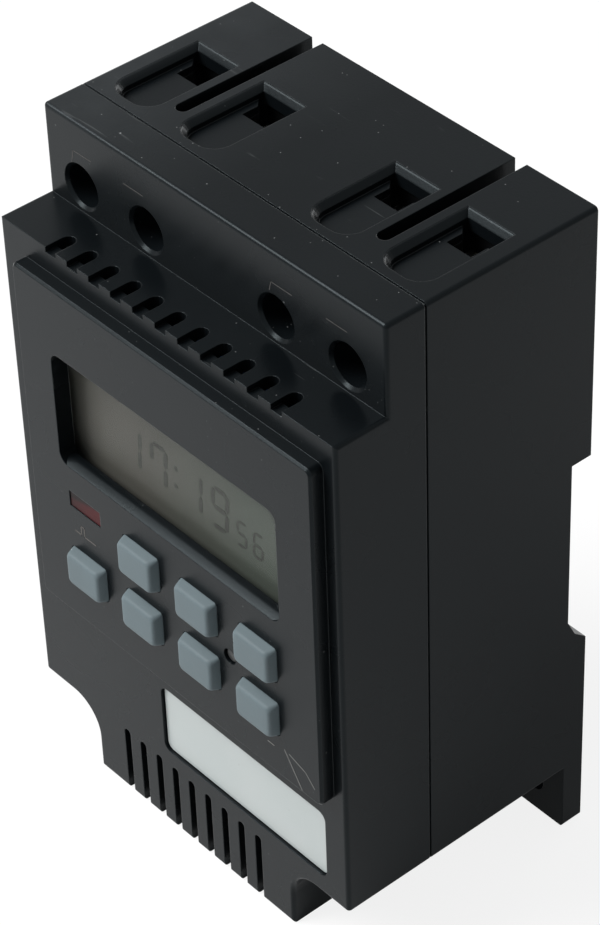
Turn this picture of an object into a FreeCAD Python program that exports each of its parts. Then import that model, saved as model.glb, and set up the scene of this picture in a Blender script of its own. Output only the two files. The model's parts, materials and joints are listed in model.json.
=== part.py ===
import FreeCAD
import Part
import math
import os

V = FreeCAD.Vector

# Digital time switch for a 35 mm rail or a wall.
# Millimetres. X to the right seen from the front, Y to the back, Z up.
# The origin is the middle of the rail slot, on the plane that the rail's flanges rest against.

# Rail and slot
RAIL_HEIGHT = 35.0
RAIL_FLANGE = 1.0
RAIL_GAP = 0.1
SEAT_TO_BACK = 2.4
SLOT_RELIEF = 1.6
SLOT_FLOOR_HEIGHT = 32.0
SLOT_MOUTH_HEIGHT = 37.2
HOOK_DROP = 1.2
HOOK_LENGTH = 14.0
HOOK_PITCH = 40.0
SEAT_RIB_WIDTH = 4.0
SEAT_RIB_PITCH = 26.0

# Case
CASE_WIDTH = 77.0
CASE_HEIGHT = 123.2
CASE_DEPTH = 51.0
WALL = 2.2
EDGE_ROUND = 0.7
SLOT_BELOW_MIDDLE = 2.0
STEP_DEPTH = 9.85
STEP_HEIGHT = 16.2
SEAM_DEPTH = 17.4
SEAM_GROOVE_WIDTH = 0.4
SEAM_GROOVE_DEPTH = 0.4
FOOT_NOTCH_WIDTH = 13.65
FOOT_HEIGHT = 13.0
FOOT_ROUND = 6.1
EAR_THICKNESS = 4.2
EAR_HOLE_RADIUS = 2.2
EAR_HOLE_INSET = 6.8
EAR_HOLE_UP = 6.5

# Raised panel
PANEL_SIDE_MARGIN = 4.0
PANEL_FOOT_MARGIN = 36.0
PANEL_OFFSET = 1.35
PANEL_LEDGE_GAP = 4.5
PANEL_PROUD = 2.5
PANEL_CORNER = 1.2
PANEL_BEVEL = 0.4

# Display
WINDOW_SIDE_MARGIN = 8.2
WINDOW_HEIGHT = 21.6
WINDOW_KEY_GAP = 5.65
WINDOW_CORNER = 2.0
WINDOW_DEPTH = 3.0
WINDOW_RIM = 3.0
PANE_LAP = 1.8
PANE_THICKNESS = 1.2
LCD_LAP = 1.9
LCD_THICKNESS = 1.8
LCD_GAP = 0.2
HOLDER_WALL = 1.1
HOLDER_SHELF = 1.0
ZEBRA_WIDTH = 2.0

# Keys
KEY_WIDTH = 8.5
KEY_HEIGHT = 6.7
KEY_CORNER = 1.0
KEY_BEVEL = 0.6
KEY_PROUD = 1.8
KEY_SIDE_MARGIN = 9.4
SPARE_BELOW_KEYS = 0.3327
SPARE_BETWEEN_KEYS = 0.1721
KEY_GAP = 0.2
KEY_FLANGE = 0.9
KEY_FLANGE_THICKNESS = 1.2
KEY_TRAVEL = 1.0
KEY_STEM_WIDTH = 4.6
KEY_STEM_HEIGHT = 3.2
REST_GAP = 0.3
RESET_RADIUS = 1.15
RESET_GAP = 0.25
RESET_SUNK = 0.5
RESET_FLANGE_RADIUS = 1.9
RESET_TRAVEL = 0.6

# Lamp and label
LED_WIDTH = 7.5
LED_HEIGHT = 2.9
LED_LIFT = 1.8
LED_GAP = 0.1
LED_SUNK = 0.15
LED_FLANGE = 0.6
LABEL_WIDTH = 39.6
LABEL_HEIGHT = 13.7
LABEL_CORNER = 1.6
LABEL_MARGIN = 2.55
LABEL_PANEL_GAP = 5.15
LABEL_THICKNESS = 0.3
LABEL_SUNK = 0.6
LABEL_GAP = 0.2

# Vents
LEDGE_VENT_COUNT = 11
LEDGE_VENT_PITCH = 5.2
LEDGE_VENT_WIDTH = 2.45
LEDGE_VENT_LENGTH = 4.75
LEDGE_VENT_NOTCH = 1.0
FOOT_VENT_COUNT = 9
FOOT_VENT_PITCH = 4.16
FOOT_VENT_WIDTH = 1.55
FOOT_VENT_TOP = 14.0
FOOT_VENT_LENGTH = 8.0

# Terminals
TERMINAL_SIDE_INSET = 8.2
TERMINAL_PITCH = 15.5
TERMINAL_DROP = 11.6
SCREW_HOLE_RADIUS = 3.6
SCREW_HOLE_CHAMFER = 0.5
SLEEVE_WALL = 1.3
POCKET_WIDTH = 9.75
POCKET_FRONT = 19.35
POCKET_REAR = 37.75
POCKET_ROUND = 3.6
POCKET_GAP = 1.2
WIRE_HALF_WIDTH = 2.55
WIRE_FRONT = 31.3
WIRE_REAR_LAP = 0.15
FLARE_FRONT = 3.1
GROOVE_WIDTH = 2.45
GROOVE_FRONT = 23.0
GROOVE_DEPTH = 12.0
GROOVE_WALL = 0.9
GROOVE_GAP = 0.12
BLOCK_FRONT = 18.7
BLOCK_SIDE_WALL = 1.1
BLOCK_FLOOR = 1.8
CHAMBER_FRONT_WALL = 2.2
CAGE_HALF_WIDTH = 4.4
CAGE_HALF_HEIGHT = 4.1
CAGE_GAP = 0.3
SLEEVE_END_GAP = 1.0
CAGE_SIDE_WALL = 1.1
CAGE_NUT_WALL = 2.0
CAGE_REAR_WALL = 1.2
CAGE_TRAVEL = 6.2
BAR_THICKNESS = 1.0
BAR_HALF_WIDTH = 2.7
BAR_GAP = 0.2
TERMINAL_SCREW_RADIUS = 2.0
THREAD_GAP = 0.05
SCREW_HEAD_RADIUS = 3.3
SCREW_HEAD_THICKNESS = 2.6
SCREW_HEAD_GAP = 0.1
DRIVER_SLOT_WIDTH = 1.0
DRIVER_SLOT_DEPTH = 1.2

# Boards and what is on them
CONTROL_BOARD_DEPTH = 8.2
CONTROL_BOARD_INSET = 2.2
CONTROL_BOARD_BOTTOM_GAP = 3.0
BOARD_THICKNESS = 1.6
BOARD_POST_RADIUS = 1.3
BOARD_POST_INSET = 1.3
MAT_THICKNESS = 1.2
MAT_MARGIN = 1.5
MAT_BOTTOM_GAP = 1.8
MAT_TOP_GAP = 0.6
MAT_PAD_WIDTH = 4.2
MAT_PAD_HEIGHT = 0.3
STANDOFF_HEIGHT = 3.7
POWER_BOARD_SIDE_GAP = 12.5
POWER_BOARD_HEAD_SIDE_GAP = 4.5
POWER_BOARD_BOTTOM_UP = 18.0
POWER_BOARD_TOP_GAP = 0.7
STANDOFF_RADIUS = 2.6
STANDOFF_INSET = 4.0
STANDOFF_LOW_UP = 24.0
BOARD_SCREW_RADIUS = 1.2
BOARD_SCREW_HEAD_RADIUS = 2.3
BOARD_SCREW_HEAD_THICKNESS = 1.4
BOARD_SCREW_LENGTH = 5.0
CABLE_WIDTH = 14.0
CABLE_THICKNESS = 0.8
CABLE_X = 6.0
CABLE_EDGE_GAP = 6.0
CABLE_DROP = 15.0
PIECE_GAP = 1.2
CHIP_SIZE = 12.0
CHIP_THICKNESS = 1.4
CHIP_X = 10.0
CRYSTAL_LENGTH = 10.5
CRYSTAL_HEIGHT = 4.0
CRYSTAL_DEPTH = 3.5
CRYSTAL_X = -8.0
CELL_RADIUS = 7.7
CELL_THICKNESS = 6.0
CELL_X = 14.0
RELAY_WIDTH = 28.0
RELAY_HEIGHT = 32.0
RELAY_DEPTH = 19.0
RELAY_EDGE_GAP = 1.0
DROPPER_WIDTH = 9.0
DROPPER_HEIGHT = 18.0
DROPPER_DEPTH = 15.0
DROPPER_EDGE_GAP = 2.5
SMOOTHING_RADIUS = 5.0
SMOOTHING_LENGTH = 12.0

# Case screws
CASE_SCREW_INSET = 4.2
CASE_SCREW_LOW_UP = 20.5
CASE_SCREW_PANEL_DROP = 5.0
BOSS_RADIUS = 3.4
CASE_SCREW_RADIUS = 1.4
CASE_SCREW_HEAD_RADIUS = 2.7
CASE_SCREW_HEAD_THICKNESS = 2.0
CASE_SCREW_HEAD_DEPTH = 29.0
CASE_SCREW_TIP_DEPTH = 9.5
CASE_SCREW_GAP = 0.05
COUNTERBORE_GAP = 0.3

# Rail clip
CLIP_HALF_WIDTH = 10.0
CLIP_FLANGE = 3.0
CLIP_FLANGE_THICKNESS = 1.6
CLIP_GAP = 0.3
CLIP_FLOOR_WALL = 2.1
CLIP_BOTTOM_UP = 1.5
CLIP_FLANGE_BOTTOM_UP = 4.0
CLIP_FLANGE_TOP_DROP = 5.0
CLIP_LIP_RISE = 1.7
CLIP_BACK_GAP = 0.2
CLIP_TRAVEL = 4.5
CLIP_DRIVER_WIDTH = 7.0
CLIP_DRIVER_HEIGHT = 2.2
CLIP_DRIVER_UP = 4.2
SPRING_RADIUS = 1.4
SPRING_BORE = 0.9
SPRING_GAP = 0.3
SPRING_STOP_UP = 12.8
SPRING_STOP_HEIGHT = 2.0
SPRING_HEAD_WALL = 10.0

# Planes worked out from the sizes above
SLOT_TOP_Z = RAIL_HEIGHT / 2 + RAIL_GAP
TOP_Z = SLOT_BELOW_MIDDLE + CASE_HEIGHT / 2
BOTTOM_Z = TOP_Z - CASE_HEIGHT
BACK_Y = SEAT_TO_BACK
FRONT_Y = BACK_Y - CASE_DEPTH
SIDE_X = CASE_WIDTH / 2
FOOT_HALF_WIDTH = SIDE_X - FOOT_NOTCH_WIDTH
EAR_HOLE_X = SIDE_X - EAR_HOLE_INSET
SLOT_FLOOR_Y = -SLOT_RELIEF
LEDGE_Z = TOP_Z - STEP_HEIGHT
TERMINAL_Y = FRONT_Y + STEP_DEPTH
SEAM_Y = FRONT_Y + SEAM_DEPTH
EAR_Y = BACK_Y - EAR_THICKNESS
INNER_BACK_Y = SLOT_FLOOR_Y - WALL
PANEL_Y = FRONT_Y - PANEL_PROUD
PANEL_INNER_Y = PANEL_Y + WALL
PANEL_WIDTH = CASE_WIDTH - 2 * PANEL_SIDE_MARGIN
PANEL_RIGHT_X = PANEL_OFFSET + PANEL_WIDTH / 2
PANEL_LEFT_X = PANEL_OFFSET - PANEL_WIDTH / 2
PANEL_TOP_Z = LEDGE_Z - PANEL_LEDGE_GAP
PANEL_BOTTOM_Z = BOTTOM_Z + PANEL_FOOT_MARGIN
PANEL_HEIGHT = PANEL_TOP_Z - PANEL_BOTTOM_Z
PANEL_MID_Z = (PANEL_TOP_Z + PANEL_BOTTOM_Z) / 2
WINDOW_WIDTH = PANEL_WIDTH - 2 * WINDOW_SIDE_MARGIN
SPARE_HEIGHT = PANEL_HEIGHT - WINDOW_HEIGHT - WINDOW_KEY_GAP - 2 * KEY_HEIGHT
KEY_LOWER_Z = PANEL_BOTTOM_Z + SPARE_BELOW_KEYS * SPARE_HEIGHT + KEY_HEIGHT / 2
KEY_UPPER_Z = KEY_LOWER_Z + KEY_HEIGHT + SPARE_BETWEEN_KEYS * SPARE_HEIGHT
WINDOW_BOTTOM_Z = KEY_UPPER_Z + KEY_HEIGHT / 2 + WINDOW_KEY_GAP
WINDOW_MID_Z = WINDOW_BOTTOM_Z + WINDOW_HEIGHT / 2
PANE_Y = PANEL_Y + WINDOW_DEPTH
LCD_Y = PANE_Y + PANE_THICKNESS + LCD_GAP
CONTROL_BOARD_Y = FRONT_Y + CONTROL_BOARD_DEPTH
POWER_BOARD_Y = INNER_BACK_Y - STANDOFF_HEIGHT - BOARD_THICKNESS
TERMINAL_Z = TOP_Z - TERMINAL_DROP
POCKET_FLOOR_Z = TOP_Z - WALL - POCKET_GAP
BLOCK_Y = FRONT_Y + BLOCK_FRONT
CHAMBER_HALF_HEIGHT = CAGE_HALF_HEIGHT + CAGE_GAP
CHAMBER_HALF_WIDTH = CAGE_HALF_WIDTH + CAGE_GAP
CHAMBER_Y = BLOCK_Y + CHAMBER_FRONT_WALL
BLOCK_BOTTOM_Z = TERMINAL_Z - CHAMBER_HALF_HEIGHT - BLOCK_FLOOR
WIRE_Y = FRONT_Y + WIRE_FRONT
WIRE_REAR_Y = FRONT_Y + POCKET_REAR + WIRE_REAR_LAP
BAR_REAR_Y = WIRE_Y - BAR_GAP
BAR_Y = BAR_REAR_Y - BAR_THICKNESS
CAGE_REAR_INNER_Y = WIRE_REAR_Y + BAR_GAP / 2
CAGE_FRONT_Y = BAR_Y - BAR_GAP * 2 - CAGE_NUT_WALL
CHAMBER_REAR_Y = CAGE_REAR_INNER_Y + CAGE_REAR_WALL + CAGE_GAP
TERMINAL_OUTER_X = SIDE_X - TERMINAL_SIDE_INSET
TERMINAL_INNER_X = TERMINAL_OUTER_X - TERMINAL_PITCH
PAIR_X = TERMINAL_OUTER_X - TERMINAL_PITCH / 2
TERMINAL_XS = [-TERMINAL_OUTER_X, -TERMINAL_INNER_X, TERMINAL_INNER_X, TERMINAL_OUTER_X]
KEY_PITCH_X = (PANEL_WIDTH - 2 * KEY_SIDE_MARGIN - KEY_WIDTH) / 3
KEY_XS = [PANEL_OFFSET + (i - 1.5) * KEY_PITCH_X for i in range(4)]
RESET_X = (KEY_XS[2] + KEY_XS[3]) / 2
RESET_Z = (KEY_LOWER_Z + KEY_UPPER_Z) / 2
LED_Z = (WINDOW_BOTTOM_Z + KEY_LOWER_Z + KEY_HEIGHT / 2) / 2 + LED_LIFT
LABEL_X = PANEL_RIGHT_X - LABEL_MARGIN - LABEL_WIDTH / 2
LABEL_Z = PANEL_BOTTOM_Z - LABEL_PANEL_GAP - LABEL_HEIGHT / 2
CLIP_FLOOR_Y = INNER_BACK_Y + CLIP_FLOOR_WALL
CLIP_FRONT_Y = CLIP_FLOOR_Y + CLIP_GAP
CLIP_BACK_Y = BACK_Y - CLIP_BACK_GAP
CLIP_JAW_Z = -RAIL_HEIGHT / 2 - RAIL_GAP
CASE_SCREW_X = SIDE_X - CASE_SCREW_INSET
CASE_SCREW_HIGH_Z = PANEL_TOP_Z - CASE_SCREW_PANEL_DROP
CASE_SCREW_ZS = [BOTTOM_Z + CASE_SCREW_LOW_UP, CASE_SCREW_HIGH_Z]
SPRING_Z = BOTTOM_Z + SPRING_STOP_UP + SPRING_STOP_HEIGHT
SPRING_LENGTH = CLIP_JAW_Z - SPRING_Z - SPRING_HEAD_WALL
CONTROL_BOARD_LEFT = PANEL_LEFT_X + CONTROL_BOARD_INSET
CONTROL_BOARD_RIGHT = PANEL_RIGHT_X - CONTROL_BOARD_INSET
CONTROL_BOARD_BOTTOM_Z = PANEL_BOTTOM_Z + CONTROL_BOARD_BOTTOM_GAP
CONTROL_BOARD_TOP_Z = CASE_SCREW_HIGH_Z - BOSS_RADIUS - CASE_SCREW_GAP - CLIP_GAP
CONTROL_BOARD_REAR_Y = CONTROL_BOARD_Y + BOARD_THICKNESS
MAT_HALF_WIDTH = 1.5 * KEY_PITCH_X + KEY_WIDTH / 2 + KEY_FLANGE + MAT_MARGIN
MAT_BOTTOM_Z = CONTROL_BOARD_BOTTOM_Z + MAT_BOTTOM_GAP
HOLDER_BOTTOM_Z = WINDOW_BOTTOM_Z - LCD_LAP - HOLDER_WALL
MAT_TOP_Z = HOLDER_BOTTOM_Z - MAT_TOP_GAP
POWER_BOARD_HALF_WIDTH = SIDE_X - POWER_BOARD_SIDE_GAP
POWER_BOARD_HEAD_HALF_WIDTH = SIDE_X - POWER_BOARD_HEAD_SIDE_GAP
POWER_BOARD_HEAD_Z = CASE_SCREW_HIGH_Z + BOSS_RADIUS + COUNTERBORE_GAP + CLIP_GAP
POWER_BOARD_TOP_Z = BLOCK_BOTTOM_Z - POWER_BOARD_TOP_GAP
STANDOFF_X = POWER_BOARD_HALF_WIDTH - STANDOFF_INSET
STANDOFF_ZS = [BOTTOM_Z + STANDOFF_LOW_UP, CASE_SCREW_HIGH_Z]
RELAY_X = RELAY_EDGE_GAP + RELAY_WIDTH / 2 - POWER_BOARD_HALF_WIDTH
RELAY_TOP_Z = CASE_SCREW_HIGH_Z - BOARD_SCREW_HEAD_RADIUS - PIECE_GAP
DROPPER_X = POWER_BOARD_HALF_WIDTH - DROPPER_EDGE_GAP - DROPPER_WIDTH / 2
DROPPER_Z = RELAY_TOP_Z - DROPPER_HEIGHT / 2
SMOOTHING_Z = DROPPER_Z - DROPPER_HEIGHT / 2 - PIECE_GAP - SMOOTHING_RADIUS
OVER = 1.0
NEAR = 0.01
HIDDEN_SIDES = 12
VENT_SIDES = 6


# Basic solids
def box(x0, x1, y0, y1, z0, z1):
    return Part.makeBox(x1 - x0, y1 - y0, z1 - z0, V(x0, y0, z0))


def rod_y(x, z, radius, y0, y1):
    return Part.makeCylinder(radius, y1 - y0, V(x, y0, z), V(0, 1, 0))


def plain_rod_y(x, z, radius, y0, y1):
    """A hidden rod or hole with flat sides, for shanks, posts and their pilot holes."""
    points = []
    for i in range(HIDDEN_SIDES):
        turn = 2 * math.pi * (i + 0.5) / HIDDEN_SIDES
        points.append(V(x + radius * math.cos(turn), y0, z + radius * math.sin(turn)))
    return prism(points, V(0, y1 - y0, 0))


def rod_z(x, y, radius, z0, z1):
    return Part.makeCylinder(radius, z1 - z0, V(x, y, z0), V(0, 0, 1))


def join(shapes):
    return shapes[0].multiFuse(shapes[1:]).removeSplitter()


def cut(shape, tools):
    return shape.cut(tools)


def prism(points, direction):
    wire = Part.makePolygon(points + [points[0]])
    return Part.Face(wire).extrude(direction)


def rounded_plate(mid_x, mid_z, width, height, corner, y0, y1):
    """A plate in the X-Z plane with rounded corners, from y0 to y1."""
    plate = box(mid_x - width / 2, mid_x + width / 2, y0, y1, mid_z - height / 2, mid_z + height / 2)
    corners = [e for e in plate.Edges if abs(e.tangentAt(e.FirstParameter).y) > 0.9]
    return plate.makeFillet(corner, corners)


def bevelled_plate(mid_x, mid_z, width, height, bevel, y0, y1):
    """A plate in the X-Z plane with its corners cut off, from y0 to y1."""
    half_w = width / 2
    half_h = height / 2
    points = []
    for sx, sz, turn in ((1, -1, 0), (1, 1, 1), (-1, 1, 0), (-1, -1, 1)):
        near_side = V(mid_x + sx * (half_w - bevel), y0, mid_z + sz * half_h)
        near_end = V(mid_x + sx * half_w, y0, mid_z + sz * (half_h - bevel))
        points += [near_end, near_side] if turn else [near_side, near_end]
    return prism(points, V(0, y1 - y0, 0))


def edges_in_plane(shape, axis, place):
    """The edges that lie wholly in a plane square to one axis."""
    low = axis + "Min"
    high = axis + "Max"
    near = 1e-4
    found = []
    for edge in shape.Edges:
        bounds = edge.BoundBox
        if abs(getattr(bounds, low) - place) < near and abs(getattr(bounds, high) - place) < near:
            found.append(edge)
    return found


# Case outlines
def front_outline(inset, y0, y1):
    """The case seen from the front, moved inwards by inset: a box with its lower corners notched."""
    side = SIDE_X - inset
    top = TOP_Z - inset
    shelf = BOTTOM_Z + FOOT_HEIGHT + inset
    foot = FOOT_HALF_WIDTH - inset
    bottom = BOTTOM_Z + inset
    radius = FOOT_ROUND + inset
    half = math.sqrt(0.5) * radius
    mid_x = FOOT_HALF_WIDTH + FOOT_ROUND
    mid_z = BOTTOM_Z + FOOT_HEIGHT - FOOT_ROUND
    right = [V(foot, y0, bottom), V(foot, y0, mid_z)]
    arc_right = Part.Arc(V(foot, y0, mid_z), V(mid_x - half, y0, mid_z + half),
                         V(mid_x, y0, shelf)).toShape()
    arc_left = Part.Arc(V(-mid_x, y0, shelf), V(half - mid_x, y0, mid_z + half),
                        V(-foot, y0, mid_z)).toShape()
    over = [V(mid_x, y0, shelf), V(side, y0, shelf), V(side, y0, top), V(-side, y0, top),
            V(-side, y0, shelf), V(-mid_x, y0, shelf)]
    left = [V(-foot, y0, mid_z), V(-foot, y0, bottom), V(foot, y0, bottom)]
    edges = Part.makePolygon(right).Edges + [arc_right]
    edges += Part.makePolygon(over).Edges + [arc_left] + Part.makePolygon(left).Edges
    return Part.Face(Part.Wire(edges)).extrude(V(0, y1 - y0, 0))


def step_space(inset):
    """The space above the ledge and in front of the terminal face."""
    return box(-SIDE_X - OVER, SIDE_X + OVER, FRONT_Y - OVER, TERMINAL_Y + inset,
               LEDGE_Z - inset, TOP_Z + OVER)


def slot_space():
    """The rail slot: a flat roof, a relieved floor and a sloping lower flank."""
    x0 = -SIDE_X - OVER
    seat_z = -RAIL_HEIGHT / 2 - RAIL_GAP
    floor_z = SLOT_TOP_Z - SLOT_FLOOR_HEIGHT
    mouth_z = SLOT_TOP_Z - SLOT_MOUTH_HEIGHT
    over_z = mouth_z - OVER * (seat_z - mouth_z) / BACK_Y
    points = [V(x0, SLOT_FLOOR_Y, SLOT_TOP_Z), V(x0, BACK_Y + OVER, SLOT_TOP_Z),
              V(x0, BACK_Y + OVER, over_z), V(x0, 0, seat_z), V(x0, SLOT_FLOOR_Y, floor_z)]
    return prism(points, V(CASE_WIDTH + 2 * OVER, 0, 0))


def case_outside():
    """The whole outside of both shells, with its edges rounded."""
    main = front_outline(0, FRONT_Y, EAR_Y)
    back = box(-SIDE_X, SIDE_X, EAR_Y, BACK_Y, BOTTOM_Z, TOP_Z)
    body = join([main, back]).cut([step_space(0), slot_space()]).removeSplitter()
    outer = edges_in_plane(body, "Y", FRONT_Y)
    sides = edges_in_plane(body, "X", SIDE_X) + edges_in_plane(body, "X", -SIDE_X)
    keep = []
    for edge in outer + sides:
        bounds = edge.BoundBox
        in_slot = bounds.ZMax < SLOT_TOP_Z + NEAR and bounds.ZMin > SLOT_TOP_Z - SLOT_MOUTH_HEIGHT - NEAR
        inner_step = bounds.ZMax < LEDGE_Z + NEAR and bounds.YMin > FRONT_Y and bounds.ZMin > LEDGE_Z - NEAR
        foot_corner = bounds.ZMax < BOTTOM_Z + FOOT_HEIGHT + NEAR and bounds.YMax < EAR_Y + NEAR
        rear_foot = bounds.YMin > FRONT_Y + NEAR and foot_corner
        if in_slot or inner_step or rear_foot or bounds.YMin > BACK_Y - NEAR:
            continue
        if not any(edge.isSame(other) for other in keep):
            keep.append(edge)
    front_top = [e for e in edges_in_plane(body, "Y", TERMINAL_Y) if e.BoundBox.ZMin > TOP_Z - NEAR]
    return body.makeFillet(EDGE_ROUND, keep + front_top)


def seam_groove():
    """The shadow line round the joint of the two shells."""
    y0 = SEAM_Y - SEAM_GROOVE_WIDTH / 2
    y1 = SEAM_Y + SEAM_GROOVE_WIDTH / 2
    ring = box(-SIDE_X - OVER, SIDE_X + OVER, y0, y1, BOTTOM_Z - OVER, TOP_Z + OVER)
    return ring.cut(front_outline(SEAM_GROOVE_DEPTH, y0 - OVER, y1 + OVER))


def cavity():
    """The hollow inside both shells."""
    space = front_outline(WALL, FRONT_Y + WALL, BACK_Y - WALL)
    behind_slot = box(-SIDE_X, SIDE_X, INNER_BACK_Y, BACK_Y, BOTTOM_Z, SLOT_TOP_Z + WALL)
    return space.cut([step_space(WALL), behind_slot])


# Front cover
def raised_panel():
    y1 = FRONT_Y + WALL / 2
    panel = rounded_plate(PANEL_OFFSET, PANEL_MID_Z, PANEL_WIDTH, PANEL_HEIGHT, PANEL_CORNER, PANEL_Y, y1)
    return panel.makeChamfer(PANEL_BEVEL, edges_in_plane(panel, "Y", PANEL_Y))


def panel_hollow():
    width = PANEL_WIDTH - 2 * WALL
    height = PANEL_HEIGHT - 2 * WALL
    return rounded_plate(PANEL_OFFSET, PANEL_MID_Z, width, height, PANEL_CORNER, PANEL_INNER_Y,
                         FRONT_Y + WALL + OVER)


def window_rim():
    width = WINDOW_WIDTH + 2 * WINDOW_RIM
    height = WINDOW_HEIGHT + 2 * WINDOW_RIM
    return rounded_plate(PANEL_OFFSET, WINDOW_MID_Z, width, height, WINDOW_CORNER, PANEL_INNER_Y, PANE_Y)


def window_hole():
    return rounded_plate(PANEL_OFFSET, WINDOW_MID_Z, WINDOW_WIDTH, WINDOW_HEIGHT, WINDOW_CORNER,
                         PANEL_Y - OVER, PANE_Y + OVER)


def key_places():
    lower = [("key_lower_%d" % (i + 1), x, KEY_LOWER_Z) for i, x in enumerate(KEY_XS)]
    upper = [("key_upper_%d" % (i + 1), x, KEY_UPPER_Z) for i, x in enumerate(KEY_XS[1:])]
    return lower + upper


def panel_holes():
    y0 = PANEL_Y - OVER
    y1 = PANEL_INNER_Y + OVER
    width = KEY_WIDTH + 2 * KEY_GAP
    height = KEY_HEIGHT + 2 * KEY_GAP
    holes = [bevelled_plate(x, z, width, height, KEY_CORNER / 2, y0, y1) for name, x, z in key_places()]
    holes.append(rod_y(RESET_X, RESET_Z, RESET_RADIUS + RESET_GAP, y0, y1))
    led_x = KEY_XS[0]
    holes.append(box(led_x - LED_WIDTH / 2 - LED_GAP, led_x + LED_WIDTH / 2 + LED_GAP, y0, y1,
                     LED_Z - LED_HEIGHT / 2 - LED_GAP, LED_Z + LED_HEIGHT / 2 + LED_GAP))
    return holes


def label_recess():
    depth = LABEL_SUNK + LABEL_THICKNESS
    return rounded_plate(LABEL_X, LABEL_Z, LABEL_WIDTH + 2 * LABEL_GAP, LABEL_HEIGHT + 2 * LABEL_GAP,
                         LABEL_CORNER, FRONT_Y - OVER, FRONT_Y + depth)


def round_end(half):
    """Points across and along for a slot's round end, from one side to the other."""
    turns = [math.pi * i / VENT_SIDES for i in range(VENT_SIDES + 1)]
    return [(half * math.cos(turn), half * math.sin(turn)) for turn in turns]


def round_slot(x, half, y0, y1, z0, z1):
    """An upright slot, square at y0 and with a round end at y1."""
    ends = [V(x + across, y1 - half + along, z0) for across, along in round_end(half)]
    return prism([V(x - half, y0, z0), V(x + half, y0, z0)] + ends, V(0, 0, z1 - z0))


def ledge_vents():
    """Slots with round rear ends through the ledge, notched into the front wall."""
    slots = []
    half = LEDGE_VENT_WIDTH / 2
    y1 = FRONT_Y + LEDGE_VENT_LENGTH
    low = LEDGE_Z - LEDGE_VENT_NOTCH
    for i in range(LEDGE_VENT_COUNT):
        x = (i - (LEDGE_VENT_COUNT - 1) / 2) * LEDGE_VENT_PITCH
        slots.append(round_slot(x, half, FRONT_Y - OVER, y1, low, LEDGE_Z + OVER))
        slots.append(round_slot(x, half, FRONT_Y + WALL, y1, LEDGE_Z - WALL - OVER, LEDGE_Z))
    return slots


def foot_vents():
    """Slots with round tops through the front wall, running on under the foot."""
    slots = []
    for i in range(FOOT_VENT_COUNT):
        x = (i - (FOOT_VENT_COUNT - 1) / 2) * FOOT_VENT_PITCH
        half = FOOT_VENT_WIDTH / 2
        top = BOTTOM_Z + FOOT_VENT_TOP - half
        ends = [V(x + across, FRONT_Y - OVER, top + along) for across, along in round_end(half)]
        low = BOTTOM_Z - OVER
        front = prism([V(x - half, FRONT_Y - OVER, low), V(x + half, FRONT_Y - OVER, low)] + ends,
                      V(0, WALL + 2 * OVER, 0))
        under = box(x - half, x + half, FRONT_Y - OVER, FRONT_Y + FOOT_VENT_LENGTH,
                    BOTTOM_Z - OVER, BOTTOM_Z + WALL + OVER)
        slots.append(join([front, under]))
    return slots


def screw_sleeves():
    """Tubes that lead a screwdriver from the terminal face to the terminal screws."""
    sleeves = []
    bores = []
    rim = SCREW_HOLE_RADIUS + SCREW_HOLE_CHAMFER
    for x in TERMINAL_XS:
        sleeves.append(plain_rod_y(x, TERMINAL_Z, SCREW_HOLE_RADIUS + SLEEVE_WALL, TERMINAL_Y + WALL / 2,
                                   BLOCK_Y - SLEEVE_END_GAP))
        bores.append(rod_y(x, TERMINAL_Z, SCREW_HOLE_RADIUS, TERMINAL_Y - OVER, BLOCK_Y))
        bores.append(Part.makeCone(rim, SCREW_HOLE_RADIUS, SCREW_HOLE_CHAMFER,
                                   V(x, TERMINAL_Y, TERMINAL_Z), V(0, 1, 0)))
    return sleeves, bores


def front_bosses():
    bosses = []
    pilots = []
    for x in (-CASE_SCREW_X, CASE_SCREW_X):
        for z in CASE_SCREW_ZS:
            bosses.append(plain_rod_y(x, z, BOSS_RADIUS, FRONT_Y + WALL / 2, SEAM_Y))
            pilots.append(plain_rod_y(x, z, CASE_SCREW_RADIUS + CASE_SCREW_GAP,
                                      FRONT_Y + CASE_SCREW_TIP_DEPTH - OVER, SEAM_Y + OVER))
    return bosses, pilots


def board_posts():
    """Posts that hold the control board off the panel."""
    low = CONTROL_BOARD_BOTTOM_Z + BOARD_POST_INSET
    high = CONTROL_BOARD_TOP_Z - BOARD_POST_INSET - BOARD_POST_RADIUS
    left = CONTROL_BOARD_LEFT + BOARD_POST_INSET
    right = CONTROL_BOARD_RIGHT - BOARD_POST_INSET
    return [plain_rod_y(x, z, BOARD_POST_RADIUS, PANEL_INNER_Y - WALL / 2, CONTROL_BOARD_Y)
            for x in (left, right) for z in (low, high)]


def make_front_cover(outside, hollow, groove):
    half = box(-SIDE_X - OVER, SIDE_X + OVER, FRONT_Y - OVER, SEAM_Y, BOTTOM_Z - OVER, TOP_Z + OVER)
    shell = outside.common(half).cut([hollow, groove])
    bosses, pilots = front_bosses()
    inner_bosses = [boss.common(front_outline(WALL / 2, FRONT_Y - PANEL_PROUD, SEAM_Y)) for boss in bosses]
    sleeves, bores = screw_sleeves()
    shell = join([shell, raised_panel()]).cut(panel_hollow())
    shell = join([shell, window_rim()] + inner_bosses + sleeves + board_posts())
    tools = [window_hole(), label_recess()] + panel_holes() + ledge_vents() + foot_vents()
    return shell.cut(tools + bores + pilots).removeSplitter()


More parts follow.
